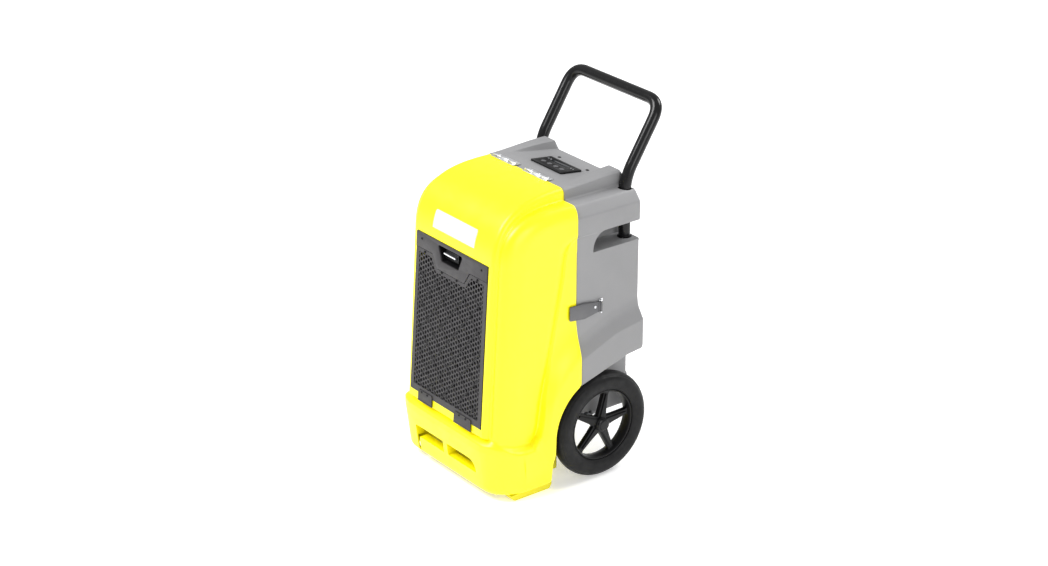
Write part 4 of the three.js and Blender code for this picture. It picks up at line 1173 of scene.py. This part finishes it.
def build_rim():
    ring = turned([(86, -13), (86, 13), (84, 14.6), (81.5, 14), (79.5, 8), (78, 2), (78, -2),
                   (79.5, -8), (81.5, -14),
                   (84, -14.6), (86, -13)], "x", (0, 0, 0), 96)
    hub = turned([(0, -14.5), (15.5, -14.5), (17, -13), (18.5, -4), (20.5, 0), (18.5, 4), (17, 13),
                  (15.5, 14.5), (0, 14.5)],
                 "x", (0, 0, 0), 48)
    carve(ring, hub, "UNION")
    for k in range(5):
        turn = Matrix.Rotation(math.radians(78 + 72 * k), 4, "X")
        outline = [(10, -13), (40, -9), (74, -6.5), (80, -9), (80, 9), (74, 6.5), (40, 9), (10, 13)]
        spoke = prism(rounded(outline, [1, 8, 6, 1, 1, 6, 8, 1], 4), -5.5, 6.0, "x", turn)
        ridge = prism([(8, -7), (72, -2.2), (72, 2.2), (8, 7)], 5.0, 9.5, "x", turn)
        carve(spoke, ridge, "UNION")
        carve(ring, spoke, "UNION")
    carve(ring, rod(8.5, -30, 30, "x", (0, 0, 0), 32))
    return softened(ring, 0.9, 2, 38)


class DEHUMIDIFIER_OT_wheels(bpy.types.Operator):
    """Builds the tyres, the five-spoked rims and the hub caps"""

    bl_idname = "dehumidifier.wheels"
    bl_label = "Wheels"

    def execute(self, context):
        for side, s in SIDES:
            place = wheel_place(s)
            place_m = Matrix.Translation(place.translation * MM) @ place.to_3x3().to_4x4()
            tyre = turned(tyre_profile(), "x", (0, 0, 0), 128, place)
            done(tyre, f"tyre_moulding_{side}", "rubber", f"wheel_{side}", (f"tyre_{side}",), 28)
            rim = build_rim()
            rim.data.transform(place_m)
            done(rim, f"rim_moulding_{side}", "black", f"wheel_{side}", (f"rim_{side}",), 32)
            cap = turned([(9, 14.9), (14.5, 14.9), (16, 16), (16, 17.4), (14.6, 18.6), (12, 19.4),
                          (11.4, 20.6), (9, 21.1), (0, 21.2),
                          (0, 19.2), (9, 19.2), (9, 14.9)], "x", (0, 0, 0), 64, place)
            done(cap, f"hub_cover_{side}", "gloss", f"wheel_{side}", (f"hub_cap_{side}",), 40)
        return {"FINISHED"}


# ------------------------------------------------------------------ handle
class DEHUMIDIFIER_OT_handle(bpy.types.Operator):
    """Builds the bent tube handle"""

    bl_idname = "dehumidifier.handle"
    bl_label = "Handle"

    def execute(self, context):
        low, bend, top = (142, 330), (142, 689), (240.5, 846)
        corners = []
        for s, ends in ((-1, (low, bend, top)), (1, (top, bend, low))):
            corners += [(s * HANDLE_HALF, y, z) for y, z in ends]
        path = smooth_path(corners, [0, 118, 42, 42, 118, 0], 16)
        tube = swept(path, 13.5, 40)
        done(tube, "handle_tube", "gloss", "handle", ("handle",), 40)
        return {"FINISHED"}


# ------------------------------------------------------------------ top and side fittings
class DEHUMIDIFIER_OT_hinges(bpy.types.Operator):
    """Builds the two bright hinges across the seam, and their screws"""

    bl_idname = "dehumidifier.hinges"
    bl_label = "Hinges"

    def execute(self, context):
        hinge_z = 702.4
        for side, x0, x1 in (("left", -117, -33), ("right", 0, 84)):
            third = (x1 - x0) / 3
            leaves = {
                "fixed": (rect(x0, 4, x1, 13), ((x0, x0 + third - 0.3), (x1 - third + 0.3, x1)), 1),
                "cover": (rect(x0, -9, x1, -4), ((x0 + third, x1 - third),), -1),
            }
            for name, (flat, spans, way) in leaves.items():
                outline = [(x, SEAM_Y + y) for x, y in flat]
                leaf = prism(rounded(outline, 0.8, 3), 699.4, 701.2, "z")
                for a, b in spans:
                    near, far = sorted((SEAM_Y, SEAM_Y + way * 5))
                    carve(leaf, block((a, near, 699.6), (b, far, 701.2)), "UNION")
                    knuckle = rect(0, 0, 2.8, b - a)
                    carve(leaf, turned(knuckle, "x", (a, SEAM_Y, hinge_z), 28), "UNION")
                carve(leaf, rod(1.9, -5, 95, "x", (x0, SEAM_Y, hinge_z), 20))
                body = "frame" if name == "fixed" else "cover"
                done(softened(leaf, 0.3, 2, 50), f"hinge_plate_{name}_{side}", "steel", body,
                     (f"hinge_leaf_{name}_{side}",), 35)
            spots = [((x, SEAM_Y + 9, 701.2), (0, 0, 1)) for x in (x0 + 12, (x0 + x1) / 2, x1 - 12)]
            screws = repeated("screws", screw_shape(2.0, 0.5), spots, "steel")
            done(screws, f"hinge_screws_{side}", "steel", "frame", (), 35)
        return {"FINISHED"}


class DEHUMIDIFIER_OT_latches(bpy.types.Operator):
    """Builds the dark straps that hold the cover's sides, with a bolt on each"""

    bl_idname = "dehumidifier.latches"
    bl_label = "Side Latches"

    def execute(self, context):
        outline = [(-42, 404), (0, 399), (40, 406), (40, 430), (0, 437), (-42, 438)]
        for side, s in SIDES:
            a, b = sorted((s * 190.4, s * 192.4))
            strap = prism(rounded(outline, [3, 10, 1, 1, 10, 3], 4), a, b, "x")
            c, d = sorted((s * 191, s * 193))
            carve(strap, block((c, 39, 406), (d, 46, 430)), "UNION")
            carve(strap, rod(3, 0, 24, "z", (s * 193, 46, 406), 28), "UNION")
            carve(strap, rod(1.8, -10, 40, "z", (s * 193, 46, 406), 20))
            softened(strap, 0.35, 2, 50)
            done(strap, f"latch_strap_{side}", "dark_steel", f"side_latch_{side}",
                 (f"side_latch_{side}",), 35)
            bolt = repeated("bolts", screw_shape(3.4, 1.8), [((s * 192.5, 30, 420), (s, 0, 0))],
                            "steel")
            done(bolt, f"latch_bolt_{side}", "steel", f"side_latch_{side}", (), 35)
        return {"FINISHED"}


class DEHUMIDIFIER_OT_panel(bpy.types.Operator):
    """Builds the control panel with its display, buttons, lamps and plugs"""

    bl_idname = "dehumidifier.panel"
    bl_label = "Control Panel"

    def execute(self, context):
        place = Matrix.Translation((9, 60, deck_z(60) + 0.3)) @ Matrix.Rotation(-PANEL_TILT, 4, "X")
        bezel = prism(rounded(rect(-55.5, -30, 55.5, 30), 3, 5), 0, 3.6, "z", place)
        carve(bezel, prism(rounded(rect(-28, 6, 28, 22), 1.5, 3), 1.2, 6, "z", place))
        for k in range(4):
            hole = rod(6.4, -2, 6, "z", (-33 + 22 * k, -10, 0), 32, place)
            carve(bezel, hole)
        softened(bezel, 0.5, 2, 40)
        done(bezel, "panel_bezel", "black", "frame", ("control_panel",), 35)
        lens = prism(rounded(rect(-27.7, 6.3, 27.7, 21.7), 1.2, 3), 1.5, 3.2, "z", place)
        done(softened(lens, 0.3, 2, 40), "panel_lens", "lens", "frame", ("display_lens",), 35)
        for k in range(4):
            button = turned([(0, 1.4), (6, 1.4), (6, 3.8), (5.2, 4.4), (2.5, 4.2), (0, 4.0)], "z",
                            (-33 + 22 * k, -10, 0), 40, place)
            done(button, f"panel_button_{k + 1}", "button", f"button_{k + 1}", (f"button_{k + 1}",),
                 40)
        up = place.to_3x3() @ Vector((0, 0, 1))
        lamps = [(place @ Vector((-44 + 8 * k, 14, 3.4)), up) for k in range(2)]
        lamps += [(place @ Vector((36 + 8 * k, 14, 3.4)), up) for k in range(2)]
        beads = repeated("beads", turned([(0, 0.9), (1.1, 0.6), (1.5, 0), (1.5, -0.4), (0, -0.4)],
                                         "z", (0, 0, 0), 16), lamps, "plate")
        done(beads, "panel_lamps", "plate", "frame", (), 40)
        plugs = [(x, 110, deck_z(110)) for x in (-42, 59.4)]
        caps = repeated("caps", turned([(0, 1.6), (3, 1.3), (4.4, 0.4), (4.6, -0.6), (0, -0.6)],
                                       "z", (0, 0, 0), 28),
                        [(p, up) for p in plugs], "black")
        done(caps, "deck_plugs", "black", "frame", (), 40)
        return {"FINISHED"}


# ------------------------------------------------------------------ base
class DEHUMIDIFIER_OT_base(bpy.types.Operator):
    """Builds the runner feet under the skirt and the wall behind the grab windows"""

    bl_idname = "dehumidifier.base"
    bl_label = "Runner Feet"

    def execute(self, context):
        outline = [(-190, 0), (-92, 0), (-86, 10), (-86, 14.7), (-200, 14.7), (-199, 7)]
        # The liner and the feet take the pan finish, the cover's yellow darkened as painted shade.
        liner = block((-140, -208, 58), (140, -206, 106))
        carve(liner, block((-126, -241, 104), (126, -206, 106)), "UNION")
        done(liner, "grab_window_liner", "pan", "cover", (), 40)
        for side, s in SIDES:
            a, b = sorted((s * 150, s * 186))
            foot = softened(prism(rounded(outline, [6, 6, 3, 0.5, 0.5, 3], 4), a, b, "x"), 2.0, 3,
                            45)
            done(foot, f"runner_foot_{side}", "pan", "frame", (f"foot_{side}",), 40)
        return {"FINISHED"}


# ------------------------------------------------------------------ refrigeration
def fin_row_tree():
    """Repeats one fin along X between two ends."""
    group, source, out = tree("fin_row", {
        "Fin": ("NodeSocketObject", None),
        "Width": ("NodeSocketFloat", 0.28),
        "Pitch": ("NodeSocketFloat", 0.0028),
        "Finish": ("NodeSocketMaterial", None),
    })
    width, pitch = source.outputs["Width"], source.outputs["Pitch"]
    count = node(group, "ShaderNodeMath", {0: width, 1: pitch}, operation="DIVIDE")
    step = node(group, "ShaderNodeCombineXYZ", {"X": pitch})
    inputs = {"Count": count.outputs["Value"], "Offset": step.outputs["Vector"]}
    line = node(group, "GeometryNodeMeshLine", inputs)
    return scatter(group, source, out, line.outputs["Mesh"], "Fin")


def fin_pack(y0, y1, low, top):
    fin = block((-140, y0, low), (-139.7, y1, top))
    seed = raw("fins", [(0, 0, 0)], [])
    group = bpy.data.node_groups.get("fin_row") or fin_row_tree()
    values = {"Fin": fin, "Width": 0.28, "Pitch": sizes().fin_pitch, "Finish": FINISH["fin"]}
    return run_tree(seed, group, fin, values)


class DEHUMIDIFIER_OT_coils(bpy.types.Operator):
    """Builds the two finned coils with their tubes and return bends"""

    bl_idname = "dehumidifier.coils"
    bl_label = "Coils"

    def execute(self, context):
        for name, node, y0, y1 in (("evaporator", "evaporator_coil", -192, -152),
                                   ("condenser", "condenser_coil", -142, -102)):
            fins = fin_pack(y0, y1, 189, 552)
            done(fins, f"{name}_fins", "fin", "frame", (node,), 35)
            middle = (y0 + y1) / 2
            tubes = []
            for k in range(8):
                z = 211 + k * 45
                tubes.append(swept(smooth_path(
                    [(-143, middle - 9, z), (148, middle - 9, z), (148, middle + 9, z),
                     (-143, middle + 9, z)],
                    [0, 4, 4, 0], 5), 4.2, 12))
                if k < 7:
                    tubes.append(swept(smooth_path(
                        [(-141, middle + 9, z), (-149, middle + 9, z), (-149, middle - 9, z + 45),
                         (-141, middle - 9, z + 45)],
                        [0, 5, 5, 0], 5), 4.2, 12))
            done(merged("tubes", tubes), f"{name}_tubes", "copper", "frame", (), 40)
        return {"FINISHED"}


class DEHUMIDIFIER_OT_compressor(bpy.types.Operator):
    """Builds the compressor can, its pads and the two copper pipes"""

    bl_idname = "dehumidifier.compressor"
    bl_label = "Compressor"

    def execute(self, context):
        x, y = -62, 92
        can = turned([(0, 0), (44, 0), (50, 3), (52, 9), (52, 84), (53.4, 86), (53.4, 92), (52, 94),
                      (52, 150), (49, 162), (40, 172),
                      (26, 179), (10, 181.5), (0, 182)], "z", (x, y, 152), 72)
        plate = softened(prism(rounded(rect(x - 60, y - 46, x + 60, y + 46), 14, 5),
                               147.1, 150.1, "z"), 0.6, 2, 45)
        neck = rod(30, 0, 4, "z", (x, y, 149), 40)
        box = softened(block((x + 42, y - 22, 236), (x + 60, y + 22, 286)), 2.5, 3, 45)
        done(merged("compressor", [can, plate, neck, box]), "compressor_can", "gloss", "frame",
             ("compressor",), 35)
        pads = []
        for dx in (-50, 50):
            for dy in (-36, 36):
                pads.append(turned([(0, 0), (8, 0), (9, 1.2), (8, 2.4), (9, 3.4), (8, 4.4),
                                    (0, 4.4)], "z", (x + dx, y + dy, 142.5), 24))
        done(merged("pads", pads), "compressor_feet", "rubber", "frame", ("compressor_pad",), 35)
        suction = [(-62, 60, 330), (-62, 60, 352), (-100, 30, 372), (-158, -20, 380),
                   (-163, -90, 392), (-163, -172, 400)]
        discharge = [(-62, 112, 330), (-62, 112, 346), (20, 110, 352), (120, 60, 360),
                     (163, -20, 370), (163, -120, 392)]
        done(swept(smooth_path(suction, 22, 8), 6, 20), "suction_tube", "copper", "frame",
             ("suction_pipe",), 40)
        done(swept(smooth_path(discharge, 22, 8), 5, 20), "discharge_tube", "copper", "frame",
             ("discharge_pipe",), 40)
        return {"FINISHED"}


class DEHUMIDIFIER_OT_fan(bpy.types.Operator):
    """Builds the fan rotor with its curved blades, and the motor behind it"""

    bl_idname = "dehumidifier.fan"
    bl_label = "Fan"

    def execute(self, context):
        z = 440
        profile = [(5.4, -91), (26, -91), (31, -87), (32, -80), (32, -60), (5.4, -60), (5.4, -91)]
        hub = turned(profile, "y", (0, 0, z), 48)
        parts = [hub]
        for k in range(5):
            parts.append(fan_blade(math.radians(72 * k), z))
        done(merged("rotor", parts), "fan_impeller", "black", "fan", ("fan_rotor",), 40)
        motor = turned([(0, -84), (5, -84), (5, -40), (30, -40), (42, -37), (44, -33), (44, 14),
                        (42, 19), (34, 22), (0, 22)],
                       "y", (0, 0, z), 56)
        done(motor, "fan_motor_can", "dark_steel", "frame", ("fan_motor",), 35)
        return {"FINISHED"}


def fan_blade(turn, z):
    """One blade with a twist, from the hub outwards."""
    sections = []
    for r in steps(28, 108, 9):
        t = (r - 30) / 78
        pitch = math.radians(mix(38, 26, t))
        half = mix(15, 19, t)
        ring = []
        for side in (1, -1):
            for u in (-1, -0.5, 0, 0.5, 1):
                u = u * side
                bow = 2.5 * (1 - u * u) + side * 0.8
                across = u * half * math.cos(pitch) - bow * math.sin(pitch)
                along = u * half * math.sin(pitch) + bow * math.cos(pitch)
                ring.append((r, along - 74, across))
        sections.append(ring)
    rows = []
    for ring in sections:
        turns = [(r, y, turn + w / max(30.0, r)) for r, y, w in ring]
        rows.append([(r * math.cos(a), y, z + r * math.sin(a)) for r, y, a in turns])
    return lofted(rows)


# ------------------------------------------------------------------ back
class DEHUMIDIFIER_OT_back(bpy.types.Operator):
    """Builds the outlet grille, the mains inlet and the drain spigot"""

    bl_idname = "dehumidifier.back"
    bl_label = "Back Fittings"

    def execute(self, context):
        half, low, top = 109.7, 330.3, 539.7
        rim = prism(rounded(rect(-half, low, half, top), 3, 4), REAR_Y - 7, REAR_Y)
        carve(rim, prism(rounded(rect(-half + 9, low + 9, half - 9, top - 9), 3, 3),
                         REAR_Y - 12, REAR_Y + 4))
        softened(rim, 0.7, 2, 40)
        slat = prism(rounded([(-6.8, -6), (-5.4, -6.6), (-0.9, 5), (-2.3, 5.6)], 0.5, 2), -half + 8,
                     half - 8, "x")
        slats = repeated("slats", slat, [((0, REAR_Y + 0.2, mix(low + 9, top - 9, (k + 0.5) / 13)),
                                          (0, 0, 1)) for k in range(13)],
                         "black")
        posts = [block((x - 1.5, REAR_Y - 6.8, low + 8), (x + 1.5, REAR_Y - 2, top - 8))
                 for x in (-50, 0, 50)]
        done(merged("grille", [rim, slats, *posts]), "outlet_louvres", "black", "frame",
             ("outlet_grille",), 35)

        body = prism(rounded(rect(-125.7, 219.3, -98.3, 242.7), 2, 4), REAR_Y - 20, REAR_Y + 0.4)
        flange = prism(rounded(rect(-130, 215, -94, 247), 3, 5), REAR_Y + 0.3, REAR_Y + 3)
        carve(body, flange, "UNION")
        carve(body, prism(rounded([(-122, 223), (-102, 223), (-102, 235), (-106, 239), (-118, 239),
                                   (-122, 235)], 1, 2),
                          REAR_Y - 16, REAR_Y + 5))
        pins = [block((x - 1, REAR_Y - 17, z), (x + 1, REAR_Y - 4, z + 5))
                for x, z in ((-119, 226), (-112, 230), (-105, 226))]
        done(softened(body, 0.4, 2, 45), "mains_inlet", "black", "frame", ("power_inlet",), 35)
        done(merged("pins", pins), "mains_pins", "steel", "frame", (), 35)

        flange = [(5.5, -9), (10.6, -9), (10.6, 0.2), (15, 0.3), (15, 3.6), (14.2, 4.3), (8, 4.6)]
        barbs = [(6.9, 6), (8.4, 11), (6.9, 11.4), (8.2, 17), (6.9, 17.4), (7.9, 23)]
        mouth = [(6.6, 25.6), (5.5, 26), (5.5, -9)]
        spigot = turned(flange + barbs + mouth, "y", (112, REAR_Y, 180), 48)
        done(spigot, "drain_spigot", "black", "frame", ("drain_fitting",), 35)
        spots = [((x, REAR_Y + 0.2, z), (0, 1, 0)) for x in (-125, 125) for z in (320, 435, 550)]
        spots += [((x, REAR_Y + 0.2, z), (0, 1, 0)) for x in (-136, 136) for z in (150, 300)]
        done(repeated("screws", screw_shape(3.6, 1.8), spots, "steel"), "back_screws", "steel",
             "frame", (), 35)
        return {"FINISHED"}


class DEHUMIDIFIER_OT_finishes(bpy.types.Operator):
    """Gives every part of the frame that stays in view its own finish"""

    bl_idname = "dehumidifier.finishes"
    bl_label = "Finishes"

    def execute(self, context):
        make_finishes()
        # The CAD's yellow parts take the pan finish, the cover's yellow darkened as painted shade.
        renamed = {"yellow": "pan", "grey": "housing", "handle": "gloss", "aluminium": "fin",
                   "compressor": "gloss"}
        slots = {part["node"]: part["material_slot"] for part in frame["record"]["subparts"]}
        for node, piece in frame["nodes"].items():
            material = FINISH[renamed.get(slots[node], slots[node])]
            if not piece.material_slots:
                piece.data.materials.append(material)
            for holder in piece.material_slots:
                holder.material = material
        return {"FINISHED"}


# ------------------------------------------------------------------ stage
def area_light(name, place, target, size, power, colour=(1, 1, 1)):
    lamp = bpy.data.lights.new(name, "AREA")
    lamp.shape = "DISK"
    lamp.size = size
    lamp.energy = power
    lamp.color = colour
    holder = bpy.data.objects.new(name, lamp)
    holder.location = place
    holder.rotation_euler = (Vector(target) - Vector(place)).to_track_quat("-Z", "Y").to_euler()
    bpy.context.scene.collection.objects.link(holder)


class DEHUMIDIFIER_OT_stage(bpy.types.Operator):
    """Builds the pale floor, the soft lights and the camera"""

    bl_idname = "dehumidifier.stage"
    bl_label = "Stage"

    def execute(self, context):
        floor = raw("floor", [(-9000, -9000, 0), (9000, -9000, 0), (9000, 9000, 0),
                              (-9000, 9000, 0)], [(0, 1, 2, 3)])
        material, base, place = shader("pale_floor", (0.93, 0.93, 0.93, 1), 0.7)
        base.inputs["Emission Color"].default_value = (1, 1, 1, 1)
        base.inputs["Emission Strength"].default_value = 0.35  # keeps the far floor pale
        relief(material, base, noise(material, place, 40.0), 0.02, 0.001)
        floor.data.materials.append(material)
        world = bpy.data.worlds.new("studio")
        world.use_nodes = True
        world.node_tree.nodes["Background"].inputs["Color"].default_value = (1, 1, 1, 1)
        rays = world.node_tree.nodes.new("ShaderNodeLightPath")
        strength = world.node_tree.nodes.new("ShaderNodeMapRange")
        strength.inputs["To Min"].default_value = 0.55  # what lights the object
        strength.inputs["To Max"].default_value = 1.0  # what the camera sees
        world.node_tree.links.new(rays.outputs["Is Camera Ray"], strength.inputs["Value"])
        world.node_tree.links.new(
            strength.outputs["Result"], world.node_tree.nodes["Background"].inputs["Strength"])
        context.scene.world = world
        context.scene.view_settings.view_transform = "Standard"
        middle = (0, 0, 0.4)
        area_light("key", (-1.0, -2.2, 3.4), middle, 2.2, 165)
        area_light("side", (3.6, -0.4, 1.6), middle, 2.0, 45)
        area_light("back", (0.6, 3.0, 3.0), middle, 2.0, 90)
        lens = bpy.data.cameras.new("camera")
        lens.sensor_fit = "HORIZONTAL"
        lens.sensor_width = 36.0
        lens.lens = 82.46
        lens.clip_end = 60
        camera = bpy.data.objects.new("camera", lens)
        eye, target = Vector((3.9568, -3.0374, 2.6375)), Vector((0, -0.02295, 0.42481))
        camera.location = eye
        camera.rotation_euler = (target - eye).to_track_quat("-Z", "Y").to_euler()
        context.scene.collection.objects.link(camera)
        context.scene.camera = camera
        return {"FINISHED"}


# ------------------------------------------------------------------ panel and start
STEPS = (
    "finishes", "stage", "cover", "badge", "housing", "door", "wheels", "handle", "hinges", "latches",
    "panel", "base", "coils", "compressor", "fan", "back",
)


class DEHUMIDIFIER_PT_panel(bpy.types.Panel):
    """Lists the steps that build the dehumidifier"""

    bl_idname = "DEHUMIDIFIER_PT_panel"
    bl_label = "Dehumidifier"
    bl_space_type = "VIEW_3D"
    bl_region_type = "UI"
    bl_category = "Dehumidifier"

    def draw(self, context):
        for group in (context.scene.dehumidifier_sizes, context.scene.dehumidifier_finishes):
            box = self.layout.box()
            for label in group.__annotations__:
                box.prop(group, label)
        for step in STEPS:
            self.layout.operator(f"dehumidifier.{step}")


CLASSES = (
    DEHUMIDIFIER_PG_sizes, DEHUMIDIFIER_PG_finishes, DEHUMIDIFIER_OT_finishes, DEHUMIDIFIER_OT_stage,
    DEHUMIDIFIER_OT_cover, DEHUMIDIFIER_OT_badge, DEHUMIDIFIER_OT_housing, DEHUMIDIFIER_OT_door,
    DEHUMIDIFIER_OT_wheels, DEHUMIDIFIER_OT_handle, DEHUMIDIFIER_OT_hinges, DEHUMIDIFIER_OT_latches,
    DEHUMIDIFIER_OT_panel, DEHUMIDIFIER_OT_base, DEHUMIDIFIER_OT_coils, DEHUMIDIFIER_OT_compressor,
    DEHUMIDIFIER_OT_fan, DEHUMIDIFIER_OT_back, DEHUMIDIFIER_PT_panel,
)


def register():
    for item in CLASSES:
        bpy.utils.register_class(item)
    bpy.types.Scene.dehumidifier_sizes = bpy.props.PointerProperty(type=DEHUMIDIFIER_PG_sizes)
    bpy.types.Scene.dehumidifier_finishes = bpy.props.PointerProperty(type=DEHUMIDIFIER_PG_finishes)


def unregister():
    del bpy.types.Scene.dehumidifier_finishes
    del bpy.types.Scene.dehumidifier_sizes
    for item in reversed(CLASSES):
        bpy.utils.unregister_class(item)


def main():
    register()
    for step in STEPS:
        getattr(bpy.ops.dehumidifier, step)()


if __name__ == "__main__":
    main()
